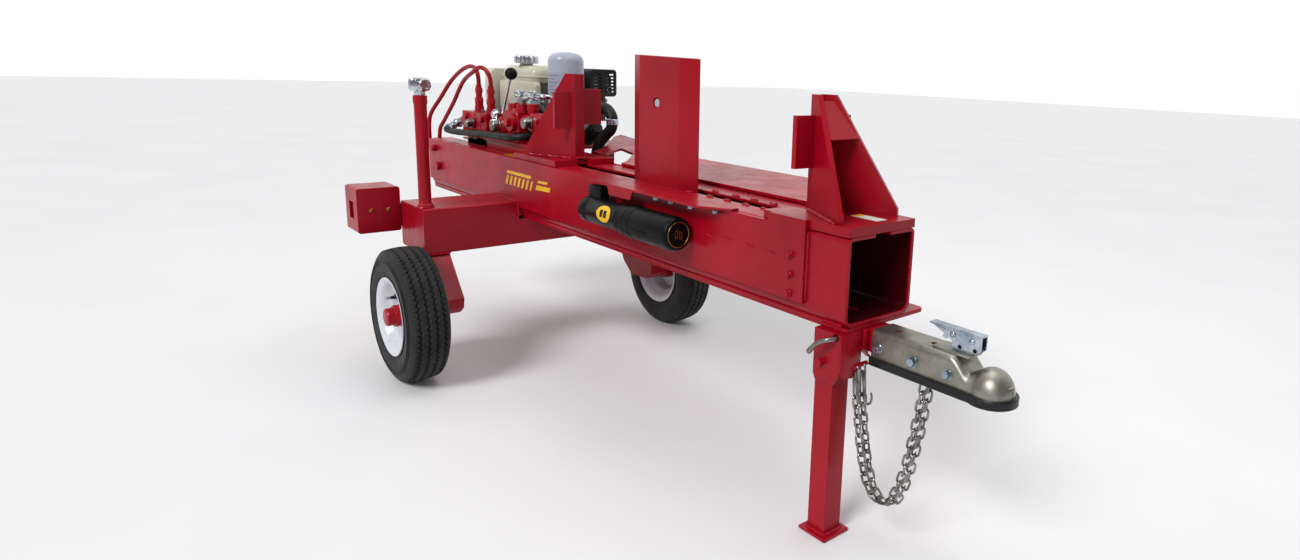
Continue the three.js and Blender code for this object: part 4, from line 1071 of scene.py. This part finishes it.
def chain_strand(label, y, sag):
    rear_x, front_x, rear_z, front_z = -2, 150, 374, 388
    points = []
    middle, half = (rear_x + front_x) / 2, (front_x - rear_x) / 2
    for i in range(61):
        t = i / 30 - 1
        end = rear_z if t < 0 else front_z
        points.append(Vector((middle + half * t, y + 14 * (t - 1), sag + (end - sag) * abs(t) ** 2.6)))
    lead = [Vector((rear_x + 2, y - 28, rear_z + 12))]
    tail = [Vector((front_x, y * 0.75, front_z + 18)), Vector((front_x, y * 0.6, front_z + 34))]
    route = catmull(lead + points + tail, 400)
    total = sum((b - a).length for a, b in zip(route, route[1:]))
    links = bmesh.new()

    def at(distance):
        spot = min(max(distance / total * 399, 0), 398.999)
        k = int(spot)
        return route[k].lerp(route[k + 1], spot - k)

    distance, turn_by, first = 0.0, 0, True
    while distance + CHAIN_PITCH <= total:
        reach = CHAIN_HOOK_REACH if first else CHAIN_PITCH
        a, b = at(distance), at(distance + reach)
        along = (b - a).normalized()
        across = along.cross(Vector((0, 1, 0))).normalized() if abs(along.y) < 0.9 else Vector((0, 0, 1))
        tilt = radians(16 + 90 * turn_by + random.uniform(-12, 12))
        side = across * cos(tilt) + along.cross(across) * sin(tilt)
        axes = Matrix((along, side, along.cross(side))).transposed().to_4x4()
        gauge = 2.3 if first else CHAIN_WIRE
        path = stadium(reach + 2 * gauge + 1.4, 15 if first else 15.2)
        merge(links, sweep([(Matrix.Translation((a + b) / 2) @ axes) @ p for p in path], gauge, 10, True))
        distance += reach
        turn_by += 1
        first = False
    place(f"chain_links_{label}", links, CHAIN_ZINC, "frame", 60, [f"safety_chain_{label}"])
    hook = bmesh.new()
    top = at(10) + Vector((4, -3, 0))
    low = at(CHAIN_HOOK_REACH + 6) + Vector((6, -3, 0))
    bend = [
        top, top.lerp(low, 0.5) + Vector((3, -2, 0)), low, low + Vector((7, 0, -9)),
        low + Vector((15, 1, -6)), low + Vector((18, 2, 6)), low + Vector((16, 2, 18))
    ]
    merge(hook, sweep(catmull(bend, 36), lambda t: 3.1 - 0.9 * t, 12))
    place(f"chain_hook_{label}", hook, CHAIN_ZINC, "frame")


def chain_anchor():
    bm = merge(bmesh.new(), rod(5, -76, -28, "y", (0, 0, 388), 24))
    place("chain_anchor_rod", bm, RED)
    strap = bmesh.new()
    corners = [
        ((-52, -84), 463), ((-18, -92), 463), ((8, -62), 436), ((20, -36), 408), ((-2, -32), 408),
        ((-24, -54), 438)
    ]
    top = [strap.verts.new((x, y, z)) for (x, y), z in corners]
    under = [strap.verts.new((x - 4, y + 5, z - 7)) for (x, y), z in corners]
    strap.faces.new(top)
    strap.faces.new(under)
    for i in range(6):
        j = (i + 1) % 6
        strap.faces.new((top[i], top[j], under[j], under[i]))
    bmesh.ops.recalc_face_normals(strap, faces=strap.faces)
    place("tongue_strap", soften(strap, 1.5), RED)


# ---------- Lines and hoses ----------
EXTEND_ROUTE = [
    (-1935, -32, 842.3), (-1936, -32, 912), (-1952, -32, 941), (-1994, -35, 952), (-2052, -40, 941),
    (-2150, -50, 895), (-2210, -74, 824), (-2259, -100, 752), (-2268, -104, 700), (-2268, -98, 600),
    (-2262, -86, 554), (-2236, -82, 536), (-2180, -81.5, 536), (-2080, -81.5, 536),
]
RETRACT_ROUTE = [
    (-1828, -32, 842.3), (-1830, -32, 911), (-1842, -40, 939), (-1872, -50, 950), (-1925, -56, 932),
    (-2020, -56, 894), (-2130, -56, 806), (-2236, -60, 722), (-2262, -62, 700), (-2268, -64, 670),
    (-2266, -70, 622), (-2246, -78, 592), (-2200, -81.5, 584), (-2100, -81.5, 584), (-1700, -81.5, 584),
    (-1345, -81.5, 584),
]
RETURN_ROUTE = [
    (-2057, -32, 744), (-2096, -34, 741), (-2140, -54, 718), (-2134, -82, 706), (-2078, -87, 703),
    (-1900, -89, 709), (-1757, -89, 717), (-1600, -88, 721), (-1540, -78, 723), (-1516, -42, 729),
    (-1524, 8, 736), (-1541, 46, 740), (-1541, 61, 740),
]
SUCTION_ROUTE = [
    (-1567, 232, 812), (-1548, 232, 812.5), (-1500, 232, 822), (-1456, 232, 821), (-1424, 232, 794),
    (-1428, 232, 758), (-1472, 232, 726), (-1516, 232, 690), (-1536, 232, 640), (-1538, 232, 580),
    (-1536, 232, 545), (-1536, 232, 523.6),
]


def collar(points, share, half, grow, sides=24):
    """Sleeve round a line at a share of the way along it."""
    spot = int(share * (len(points) - 1))
    spot = min(max(spot, 1), len(points) - 2)
    along = (points[spot + 1] - points[spot - 1]).normalized()
    turn_to = along.to_track_quat("Z", "Y").to_matrix().to_4x4()
    profile = [
        (0, -half), (grow * 0.92, -half), (grow, -half + 1.5), (grow, half - 1.5), (grow * 0.92, half),
        (0, half)
    ]
    bm = lathe(profile, "z", (0, 0, 0), sides)
    bm.transform(Matrix.Translation(points[spot]) @ turn_to)
    return bm


def lines():
    extend = catmull(EXTEND_ROUTE, 180)
    retract = catmull(RETRACT_ROUTE, 220)
    place("extend_pipe", sweep(extend, 7.8, 20), RED, "frame", 50, ["extend_line"])
    place("retract_pipe", sweep(retract, 7.8, 20), RED, "frame", 50, ["retract_line"])
    nuts = bmesh.new()
    y = VALVE["y"]
    for x in WORK_PORTS:
        for size, low, high, radius, end in (
            (34, 793, 806, 13.5, 822), (31, 820, 838, 11.5, 858), (27, 856, 874, 10.5, 884)
        ):
            merge(nuts, hexagon(size, low, high, "z", (x, y, 0)))
            merge(nuts, rod(radius, high - 2, end, "z", (x, y, 0), 28))
    merge(nuts, collar(extend, 0.93, 12, 14, 6))
    merge(nuts, collar(retract, 0.98, 12, 14, 6))
    place("pipe_nuts", nuts, RED)
    hose = catmull(RETURN_ROUTE, 200)
    place("return_hose_cover", sweep(hose, 12, 24), HOSE, "frame", 50, ["return_hose"])
    crimps = bmesh.new()
    for share in (0.012, 0.05, 0.985):
        merge(crimps, collar(hose, share, 9, 14.2))
    merge(crimps, collar(hose, 0.03, 5, 17.5, 6))
    merge(crimps, collar(hose, 0.135, 5, 17.5, 6))
    merge(crimps, sweep(hose[6:30], 14.6, 24))
    merge(crimps, rod(17, -14, 14, "-y", hose[16], 32, 3))
    place("return_hose_crimps", crimps, ZINC, "frame")
    suction = catmull(SUCTION_ROUTE, 200)

    def wrapped(t):
        return 19.5 + 0.35 * sin(t * 520)

    place(
        "suction_hose_cover", sweep(suction, wrapped, 32), HOSE, "frame", 50,
        ["suction_hose"]
    )
    clips = bmesh.new()
    for share in (0.035, 0.965):
        merge(clips, collar(suction, share, 6, 21, 48))
    merge(clips, collar(suction, 0.36, 10, 21.4, 48))
    for share in (0.035, 0.36, 0.965):
        spot = suction[int(share * 199)]
        merge(clips, rod(3.6, -9, 9, "y", spot + Vector((10, -22, 8)), 16))
        bolt(clips, "-y", spot + Vector((10, -31, 8)), 9, 4, False)
    place("suction_hose_clips", clips, ZINC, "frame")
    boot = bmesh.new()
    profile = [(0, -48), (22, -48), (22, -40)]
    for k in range(8):
        s = -38 + k * 10
        profile += [(22, s), (27, s + 2.5), (27, s + 5.5), (22, s + 8)]
    profile += [(22, 48), (0, 48)]
    part = lathe(profile, "z", (0, 0, 0), 40)
    lean = Vector((101, 0, 71)).to_track_quat("Z", "Y").to_matrix().to_4x4()
    part.transform(Matrix.Translation((-1556, 226, 727)) @ lean)
    merge(boot, part)
    place("suction_ribbed_boot", boot, HOSE, "frame")


# ---------- Valve, filter and tank fittings ----------
def valve_details():
    y = VALVE["y"]
    plugs = bmesh.new()
    for x, y0, z, size in ((-1912, -66, 745, 30), (-1702, -58, 751, 38), (-1468, -52, 776, 36)):
        merge(plugs, rod(size / 2 + 3, 0, 8, "-y", (x, y0, z), 36))
        merge(plugs, rod(size / 2, 7, 30, "-y", (x, y0, z), 36, 2.5))
        merge(plugs, hexagon(size * 0.62, 29, 31.5, "-y", (x, y0, z)))
    for x in (-1902, -1862):
        bolt(plugs, "z", (x, y, 786.5), 14, 7)
    merge(plugs, hexagon(34, 6, 24, "-x", (-2050, y, 746)))
    merge(plugs, rod(13, 22, 34, "-x", (-2050, y, 746), 24))
    place("valve_plugs", plugs, BARE, "frame")
    bright = bmesh.new()
    merge(bright, rod(20, 0, 9, "-y", (-1752, y - 14.5, 786), 36, 3))
    merge(bright, rod(15, 8, 14, "-y", (-1752, y - 14.5, 786), 36, 2))
    merge(bright, rod(9, 0, 22, "-y", (-1738, y - 14, 764), 28, 2))
    bolt(bright, "-y", (-1738, y - 36, 764), 13, 5, False)
    place("valve_bracket_caps", bright, CHROME, "frame")
    ribs = bmesh.new()
    for x in (-2002, -1972, -1905, -1858, -1812):
        merge(ribs, block(x, x + 6, -66, 6, 712, 782, 2.2))
    for z in (722, 764):
        merge(ribs, block(-2016, -1806, -66.5, -62, z, z + 6, 2))
    for x in WORK_PORTS:
        merge(ribs, rod(21, 772, 789, "z", (x, y, 0), 32, 2))
    merge(ribs, rod(30, 0, 56, "-y", (-1702, -4, 751), 36, 5))
    merge(ribs, rod(24, -1790, -1672, "x", (0, y, 744), 36, 4))
    merge(ribs, rod(36, 0, 62, "-y", (-1600, 8, 782), 40, 6))
    merge(ribs, rod(32, 0, 58, "-y", (-1468, 4, 776), 40, 6))
    merge(ribs, rod(26, -1600, -1440, "x", (0, -24, 774), 36, 8))
    for x in MANIFOLD_PORTS:
        merge(ribs, rod(20, 786, 828, "z", (x, MANIFOLD_PORT_Y, 0), 36, 2))
        merge(ribs, rod(22, 812, 836, "z", (x, MANIFOLD_PORT_Y, 0), 36, 2.5))
    merge(ribs, block(-1996, -1446, -62, 14, 692, 703, 2.5))
    merge(ribs, block(-1990, -1450, -56, 8, 662.4, 694, 2))
    place("valve_cast_ribs", ribs, RED)


def lever():
    y = VALVE["y"]
    foot, tip = Vector((-1738, y, 776)), Vector((-1656, y - 2, 918))
    bm = bmesh.new()
    merge(bm, rod(9, -9, 9, "y", (-1738, y, 776), 32))
    merge(bm, sweep([foot.lerp(tip, t / 12) for t in range(13)], 4.4, 18))
    sleeve = lathe([(0, -2), (7, -2), (7.4, 0), (7.4, 14), (6, 17), (0, 17)], "z", (0, 0, 0), 24)
    lean = (tip - foot).to_track_quat("Z", "Y").to_matrix().to_4x4()
    sleeve.transform(Matrix.Translation(foot.lerp(tip, 0.06)) @ lean)
    merge(bm, sleeve)
    place("lever_rod", bm, CHROME, "lever", 40, ["valve_lever"])
    ball = [(21 * sin(radians(a)), -21 * cos(radians(a))) for a in range(24, 180, 6)]
    profile = [(0, -19.2), (7, -20.4), *ball, (0, 21)]
    knob = lathe(profile, "z", (0, 0, 0), 48)
    knob.transform(Matrix.Translation((-1649, y - 2, 934)) @ lean)
    place("lever_ball_knob", knob, PLASTIC, "lever", 50, ["valve_knob"])


def filter_unit():
    x, y = FILTER["x"], FILTER["y"]
    can = [
        (0, 806), (58, 806), (61.5, 807.5), (63, 811), (63, 816), (61.6, 818.5), (61.2, 822), (61.2, 980),
        (60.8, 986), (59, 992.5), (55.5, 999), (50, 1004.5), (42, 1009), (31, 1012), (18, 1014), (0, 1015),
    ]
    place(
        "filter_canister", lathe(can, "z", (x, y, 0), 96), GREY_CAN, "frame", 40,
        ["filter_can"]
    )
    band = merge(
        bmesh.new(),
        lathe([(61.3, 852), (61.7, 852), (61.7, 944), (61.3, 944), (61.3, 852)], "z", (x, y, 0), 96)
    )
    place("filter_label_band", band, BAND, "frame")
    rows = bmesh.new()
    for k in range(7):
        z = 934 - k * 12
        arc = []
        for i in range(15 if k % 2 else 19):
            angle = radians(-128 + i * 4.2)
            arc.append((x + 61.8 * cos(angle), y + 61.8 * sin(angle), z))
        merge(rows, sweep(arc, 1.0, 6))
    place("filter_label_rules", rows, SLATE, "frame")
    fittings = bmesh.new()
    mid = MANIFOLD_PORT_Y
    for port in MANIFOLD_PORTS:
        merge(fittings, hexagon(36, 835, 848, "z", (port, mid, 0)))
        merge(fittings, rod(13, 846, 862, "z", (port, mid, 0), 28, 3))
        merge(fittings, rod(16, -16, 16, "x", (port, mid, 864), 28, 4))
        merge(fittings, hexagon(30, 14, 26, "x", (port, mid, 864)))
        merge(fittings, hexagon(28, 14, 24, "-x", (port, mid, 864)))
    merge(fittings, sweep([(-1630 + 10 * k, mid, 864) for k in range(9)], 8, 18))
    merge(
        fittings,
        sweep(
            catmull(
                [(-1530, mid, 864), (-1505, mid, 864), (-1486, 2, 864), (-1478, 18, 862), (-1484, 60, 850)],
                30
            ),
            8, 18
        )
    )
    merge(fittings, lathe([(0, 0), (15, 0), (16, 2), (16, 12), (15, 14), (0, 14)], "y", (-1540, 44, 786), 30))
    place("filter_fittings", fittings, CHROME, "frame")


def breather():
    x, y, top = FILLER["x"], FILLER["y"], FILLER["top"]
    z = top + 0.3

    def lobes(angle, station):
        return 1 + 0.045 * cos(angle * 10) if z + 17 < station < z + 47 else 1

    cap = [
        (0, z - 18), (13, z - 18), (13, z), (15.5, z + 0.5), (16, z + 3), (16, z + 11), (20, z + 13),
        (26, z + 14), (28.6, z + 18), (28.8, z + 22), (28.8, z + 42), (28.2, z + 46), (26, z + 50),
        (20, z + 52.2), (8, z + 53), (0, z + 53)
    ]
    bm = lathe(cap, "z", (x, y, 0), 120, lobes)
    place("breather_cap_plated", bm, CHROME, "breather", 30, ["breather_cap"])
    vent = [(0, 22), (14, 22), (15, 30), (17, 32), (17, 52), (15.5, 54), (11, 54), (10, 51), (0, 51)]
    side = lathe(vent, "x", (x, y, z + 32), 90, lambda a, s: 1 + 0.04 * cos(a * 9) if s > 31 else 1)
    place("breather_vent", side, CHROME, "breather", 30)
    collar_bead = bmesh.new()
    circle = [
        (
            x + 24 * cos(a), y + 24 * sin(a), 524.5
        ) for a in [2 * pi * i / 72 for i in range(72)]
    ]
    merge(collar_bead, sweep(circle, 3.4, 8, True))
    place("filler_weld_ring", collar_bead, RED)


def tank_details():
    beads = bmesh.new()
    merge(beads, block(-1446, -1440, -117, -98, 475, 501, 1))
    for side in (-1, 1):
        weld_bead(beads, (-1441, side * 345, 378), (-1441, side * 413, 378), 3.6)
        weld_bead(beads, (-1460, side * 345, 377), (-1600, side * 345, 377), 3.6)
        weld_bead(beads, (-1439.5, side * 118, 470), (-1439.5, side * 118, 520), 4)
        weld_bead(beads, (-1445, side * 117, 522), (-1640, side * 117, 522), 4)
    place("tank_weld_beads", beads, RED)


def lamps():
    screws = bmesh.new()
    for side in (-1, 1):
        for y in (464, 515):
            merge(
                screws,
                lathe([(0, 0), (6.2, 0), (6, 1.6), (4, 3), (0, 3.6)], "x", (-1638, side * y, 498), 24)
            )
            merge(screws, lathe([(0, 3), (2.4, 3), (2.4, 6), (0, 6.4)], "x", (-1638, side * y, 498), 14))
    place("lamp_screws", screws, BRASS, "frame")
    for side, label in SIDES:
        bars = bmesh.new()
        for k in range(9):
            z = 440 + k * 14
            merge(bars, block(-1761.6, -1757, side * 491 - 54, side * 491 + 54, z, z + 7, 1.6))
        place(f"lamp_lens_ribs_{label}", bars, LENS, "frame")
        slot = merge(bmesh.new(), block(-1717, -1679, side * 548 - 2, side * 548 + 2, 472, 524, 1))
        place(f"lamp_side_window_{label}", slot, LENS, "frame")


# ---------- Engine ----------
def engine():
    mid, shaft, rear, front = ENGINE["mid"], ENGINE["shaft"], ENGINE["rear"], ENGINE["front"]
    fins = bmesh.new()
    for k in range(9):
        y = mid + 99 + k * 8
        merge(
            fins,
            slab(rounded(rear + 234, front - 24, shaft - 56, shaft + 40.4, 8), "y", y, y + 2.6, 0.7, 1)
        )
    place("cylinder_fins", fins, ALLOY, "frame")
    cover = bmesh.new()
    merge(
        cover,
        slab(rounded(rear + 246, front - 36, shaft - 44, shaft + 34, 12), "y", mid + 168, mid + 180, 3.5, 3)
    )
    for x in (rear + 258, front - 48):
        for z in (shaft - 34, shaft + 24):
            bolt(cover, "y", (x, mid + 180, z), 12, 5)
    merge(
        cover,
        slab(rounded(rear + 130, front - 16, 690, shaft + 30, 20), "y", mid - 101.5, mid - 96, 2.5, 2)
    )
    for x in (rear + 142, rear + 236, front - 28, front - 110):
        for z in (702, shaft + 18):
            bolt(cover, "-y", (x, mid - 101.5, z), 12, 5)
    for x in (rear + 130, front - 30):
        for y in (mid - 84, mid + 84):
            bolt(cover, "z", (x, y, 676.3), 15, 6)
    place("engine_covers", cover, ALLOY, "frame")
    shroud = merge(
        bmesh.new(),
        slab(rounded(rear + 128, front - 30, shaft - 30, shaft + 92, 18), "y", mid - 127, mid - 104, 5, 3),
        slab(rounded(rear + 190, front - 96, shaft - 6, shaft + 40, 12), "y", mid - 129, mid - 126, 1.5, 2)
    )
    place("engine_shroud", shroud, CREAM, "frame")
    foot = bmesh.new()
    for x0 in (rear + 114, front - 76):
        merge(foot, block(x0, x0 + 68, mid - 112, mid + 112, 676.4, 686, 2))
    place("engine_feet", foot, ALLOY, "frame")
    dip = merge(
        bmesh.new(), rod(13, 0, 22, "-y", (rear + 160, mid - 101, 706), 28, 2),
        block(rear + 156, rear + 164, mid - 132, mid - 122, 692, 720, 2)
    )
    place("oil_filler_plug", dip, PLASTIC, "frame")
    plug = merge(
        bmesh.new(), rod(7, 0, 16, "y", (rear + 300, mid + 180, shaft - 6), 24),
        hexagon(20, 14, 22, "y", (rear + 300, mid + 180, shaft - 6)),
        sweep(
            catmull(
                [
                    (rear + 300, mid + 204, shaft - 6), (rear + 300, mid + 216, shaft + 10),
                    (rear + 262, mid + 206, shaft + 30), (rear + 200, mid + 170, shaft + 34),
                    (rear + 160, mid + 120, shaft + 34)
                ],
                40
            ),
            4, 12
        ),
        rod(10, 20, 34, "y", (rear + 300, mid + 180, shaft - 6), 24, 3)
    )
    place("spark_lead", plug, HOSE, "frame")
    shell = [
        (0, rear + 4), (26, rear + 4), (30, rear + 1), (52, rear + 0.6), (66, rear + 2), (72, rear + 8),
        (77, rear + 22), (84, rear + 27), (112, rear + 33), (122, rear + 37), (128, rear + 44),
        (131, rear + 54), (132, rear + 66), (132, rear + 109.2), (0, rear + 109.2),
    ]
    fan = place(
        "fan_housing", lathe(shell, "x", (0, mid, shaft + 6), 96), CREAM, "frame", 40,
        ["fan_cover"]
    )
    slots = []
    for count, x0, x1, half, inner, outer in (
        (20, rear - 10, rear + 24, 3.2, 34, 62), (28, rear + 18, rear + 44, 3, 88, 112)
    ):
        for k in range(count):
            arm = block(x0, x1, -half, half, inner, outer, 0)
            spin = Matrix.Rotation(2 * pi * k / count, 4, "X")
            arm.transform(Matrix.Translation((0, mid, shaft + 6)) @ spin)
            slots.append(arm)
    cut(fan, *slots)
    duct = merge(
        bmesh.new(),
        slab(rounded(mid - 150, mid + 90, shaft - 25, shaft + 136, 22, 8), "x", rear + 41, rear + 109, 5, 3)
    )
    place("fan_duct", duct, CREAM, "frame")
    screws = bmesh.new()
    for k in range(3):
        angle = radians(30 + 120 * k)
        bolt(screws, "-x", (rear + 30, mid + 104 * cos(angle), shaft + 6 + 104 * sin(angle)), 12, 5)
    place("fan_housing_bolts", screws, ZINC, "frame")
    rope = merge(bmesh.new(), rod(9, 20, 34, "-x", (rear + 46, mid + 66, shaft + 91), 24, 2))
    place("starter_rope_guide", rope, PLASTIC, "frame")


def fuel_tank():
    mid, shaft, front = ENGINE["mid"], ENGINE["shaft"], ENGINE["front"]
    low = shaft + 62
    bm = bmesh.new()
    layers = [
        (22, 16, 26), (24, 8, 30), (28, 3, 33), (36, 0.8, 34), (44, 0, 34), (45.5, -2.6, 36),
        (49.5, -2.6, 36), (51, 0, 34), (60, 0.6, 34), (70, 3, 33), (78, 8, 31), (84, 15, 28), (88, 26, 24),
        (89.5, 44, 18)
    ]
    rows = []
    for height, inset, radius in layers:
        outline = rounded(
            front - 330 + inset, front - 50 - inset, mid - 126 + inset, mid + 70 - inset, max(radius, 6), 10
        )
        rows.append([bm.verts.new((x, y, low + height)) for x, y in outline])
    for first, second in zip(rows, rows[1:]):
        for k in range(len(first)):
            j = (k + 1) % len(first)
            bm.faces.new((first[k], first[j], second[j], second[k]))
    bm.faces.new(rows[0])
    bm.faces.new(rows[-1])
    merge(bm, block(front - 220, front - 120, mid - 60, mid + 60, shaft + 41.6, low + 30, 6, 3))
    merge(
        bm,
        lathe(
            [(0, low + 84), (30, low + 84), (27, low + 89), (24, low + 91), (24, low + 96), (0, low + 96)],
            "z", (front - 180, mid - 88, 0), 40
        )
    )
    place("fuel_tank_pressing", bm, CREAM, "frame", 34, ["fuel_tank"])
    mark = bmesh.new()
    y = mid - 150.9
    merge(
        mark,
        slab(
            [(-2142, low + 46), (-2086, low + 46), (-2084, low + 51), (-2140, low + 51)], "y", y, y + 0.9, 0
        )
    )
    place("tank_stripe", mark, ORANGE, "frame")
    top = low + 96.3

    def ribs(angle, station):
        return 1 + 0.03 * cos(angle * 16) if top + 3 < station < top + 24 else 1

    cap = [
        (0, top), (40, top), (43, top + 2), (43.4, top + 5), (43.4, top + 22), (42, top + 26),
        (38, top + 28.5), (30, top + 29.6), (24, top + 28), (14, top + 28), (10, top + 30), (0, top + 30.4)
    ]
    place(
        "fuel_cap_plated", lathe(cap, "z", (front - 180, mid - 88, 0), 144, ribs), CHROME, "tank_cap",
        30, ["fuel_cap"]
    )


def muffler():
    mid, shaft, front = ENGINE["mid"], ENGINE["shaft"], ENGINE["front"]
    y0, y1, z0, z1 = mid + 76, mid + 192, shaft + 42, shaft + 146
    x0, x1 = front - 150, front + 18
    outer = merge(bmesh.new(), slab(rounded(y0, y1, z0, z1, 14, 8), "x", x0, x1, 4, 3))
    shield = place("muffler_shield", outer, BLACK_ENAMEL, "frame", 34, ["muffler_guard"])
    cut(shield, slab(rounded(y0 + 3, y1 - 3, z0 + 3, z1 - 3, 11, 6), "x", x0 + 3, x1 - 3, 0))
    tools = []
    for column in (y0 + 14, y0 + 66):
        for k in range(6):
            z = z0 + 16 + k * 13
            tools.append(slab(rounded(column, column + 36, z, z + 6, 2.9, 4), "x", x1 - 5, x1 + 5, 0))
    for column in (x0 + 16, x0 + 64, x0 + 112):
        for k in range(6):
            z = z0 + 16 + k * 13
            tools.append(slab(rounded(column, column + 34, z, z + 6, 2.9, 4), "y", y0 - 5, y0 + 5, 0))
            tools.append(slab(rounded(column, column + 34, z, z + 6, 2.9, 4), "y", y1 - 5, y1 + 5, 0))
    for k in range(9):
        x = x0 + 14 + k * 16
        tools.append(slab(rounded(x, x + 7, y0 + 20, y1 - 20, 3.2, 4), "z", z1 - 5, z1 + 5, 0))
    cut(shield, *tools)
    can = merge(
        bmesh.new(), slab(rounded(y0 + 14, y1 - 14, z0 + 12, z1 - 14, 24, 8), "x", x0 + 14, x1 - 16, 5, 3)
    )
    place("muffler_can", can, BARE, "frame")
    pipe = merge(
        bmesh.new(),
        lathe([(9, 0), (12, 0), (12, 22), (9, 22), (9, 0)], "x", (x1 - 19, y1 - 34, z0 + 26), 28)
    )
    place("muffler_outlet", pipe, BARE, "frame")


def air_cleaner():
    mid, shaft, rear = ENGINE["mid"], ENGINE["shaft"], ENGINE["rear"]
    bm = bmesh.new()
    y0, y1, z0, z1 = mid + 94, mid + 186, shaft + 42, shaft + 134
    merge(bm, slab(rounded(y0, y1, z0, z1, 16, 8), "x", rear + 130, rear + 172, 3, 2))
    merge(bm, slab(rounded(y0 + 3, y1 - 3, z0 + 3, z1 - 3, 16, 8), "x", rear + 172, rear + 178, 0))
    merge(bm, slab(rounded(y0, y1, z0, z1, 18, 8), "x", rear + 178, rear + 290, 9, 4))
    for k in range(5):
        y = y0 + 18 + k * 14
        merge(bm, block(rear + 190, rear + 276, y, y + 5, z1 - 3, z1 + 0.4, 1))
    place("air_cleaner_case", bm, PLASTIC, "frame", 34, ["air_cleaner"])


# ---------- Stage ----------
def stage():
    bm = bmesh.new()
    bmesh.ops.create_grid(bm, x_segments=8, y_segments=8, size=30)
    mesh = bpy.data.meshes.new("studio_floor")
    bm.to_mesh(mesh)
    bm.free()
    finish = Finish("floor_white")
    finish.colour(
        finish.ramp(finish.noise(1.5, 3), [(0.3, (0.7, 0.7, 0.71, 1)), (0.7, (0.73, 0.73, 0.74, 1))])
    )
    finish.shader.inputs["Roughness"].default_value = 0.7
    mesh.materials.append(finish.material)
    floor = bpy.data.objects.new("studio_floor", mesh)
    floor.location.z = -0.001
    SCENE.collection.objects.link(floor)
    world = bpy.data.worlds.new("studio")
    world.use_nodes = True
    tree = world.node_tree
    facing = tree.nodes.new("ShaderNodeTexCoord").outputs["Generated"]
    toward = tree.nodes.new("ShaderNodeVectorMath")
    toward.operation = "DOT_PRODUCT"
    toward.inputs[1].default_value = (-0.62, 0.72, 0.32)
    ramp = tree.nodes.new("ShaderNodeValToRGB")
    ramp.color_ramp.elements[0].position = 0.0
    ramp.color_ramp.elements[0].color = (0.3, 0.3, 0.31, 1)
    ramp.color_ramp.elements[1].position = 0.5
    ramp.color_ramp.elements[1].color = (1, 1, 1, 1)
    tree.links.new(facing, toward.inputs[0])
    tree.links.new(toward.outputs["Value"], ramp.inputs["Fac"])
    tree.links.new(ramp.outputs["Color"], tree.nodes["Background"].inputs["Color"])
    tree.nodes["Background"].inputs["Strength"].default_value = 1.0
    SCENE.world = world
    SCENE.view_settings.view_transform = "Standard"


def lamp(name, kind, energy, size, spot, aim):
    data = bpy.data.lights.new(name, kind)
    data.energy = energy
    if kind == "AREA":
        data.shape = "RECTANGLE"
        data.size, data.size_y = size
    light = bpy.data.objects.new(name, data)
    SCENE.collection.objects.link(light)
    light.location = spot
    light.rotation_euler = (Vector(aim) - Vector(spot)).to_track_quat("-Z", "Y").to_euler()
    return light


def lights():
    sun = lamp("key_sun", "SUN", 2.5, None, (0.9, -4.2, 3.6), (0, 0, 0))
    sun.data.angle = radians(24)
    lamp("gloss_box", "AREA", 22, (2.4, 1.2), (0.6, 0.4, 2.9), (0.2, 0, 0.6))


aim_camera()
for strand, across, dip in (("near", -34, 112), ("far", -12, 100)):
    chain_strand(strand, across, dip)
chain_anchor()
for name in (
    "beam_channel", "beam_floor_plate", "side_plate_near", "side_plate_far", "log_table", "cross_tank",
    "axle_leg_near", "axle_leg_far", "lamp_box_near", "lamp_box_far", "canister_guard", "tongue",
    "jack_bracket", "jack_leg", "engine_mount",
):
    dress(name, 1.6)
# The beam channel takes the red with painted shade inside it.
NODES["beam_channel"].data.materials[0] = RED_SHADED_CHANNEL
for name in ("front_footplate", "rear_footplate"):
    dress(name, 0)
dress("wedge", 1.2, 14)
for name in (
    "wedge_carriage", "ram_barrel", "ram_gland", "ram_rod", "ram_anchor_pin", "lamp_lens_near",
    "lamp_lens_far", "filler_pipe", "control_valve", "return_manifold", "filter_head", "gear_pump",
    "engine_block", "recoil_handle", "throttle_lever", "wedge_pin", "coupler_latch",
):
    dress(name, 0.9)
for wheel_side, wheel_label in SIDES:
    tyre(wheel_side, wheel_label)
    rim(wheel_side, wheel_label)
    hub(wheel_side, wheel_label)
beam_details()
footplate_welds("front_footplate", -205, -38)
footplate_welds("rear_footplate", -1240, -1430)
beam_marks()
canister()
coupler()
latch_details()
jack()
lines()
valve_details()
lever()
filter_unit()
breather()
tank_details()
lamps()
engine()
fuel_tank()
muffler()
air_cleaner()
stage()
lights()
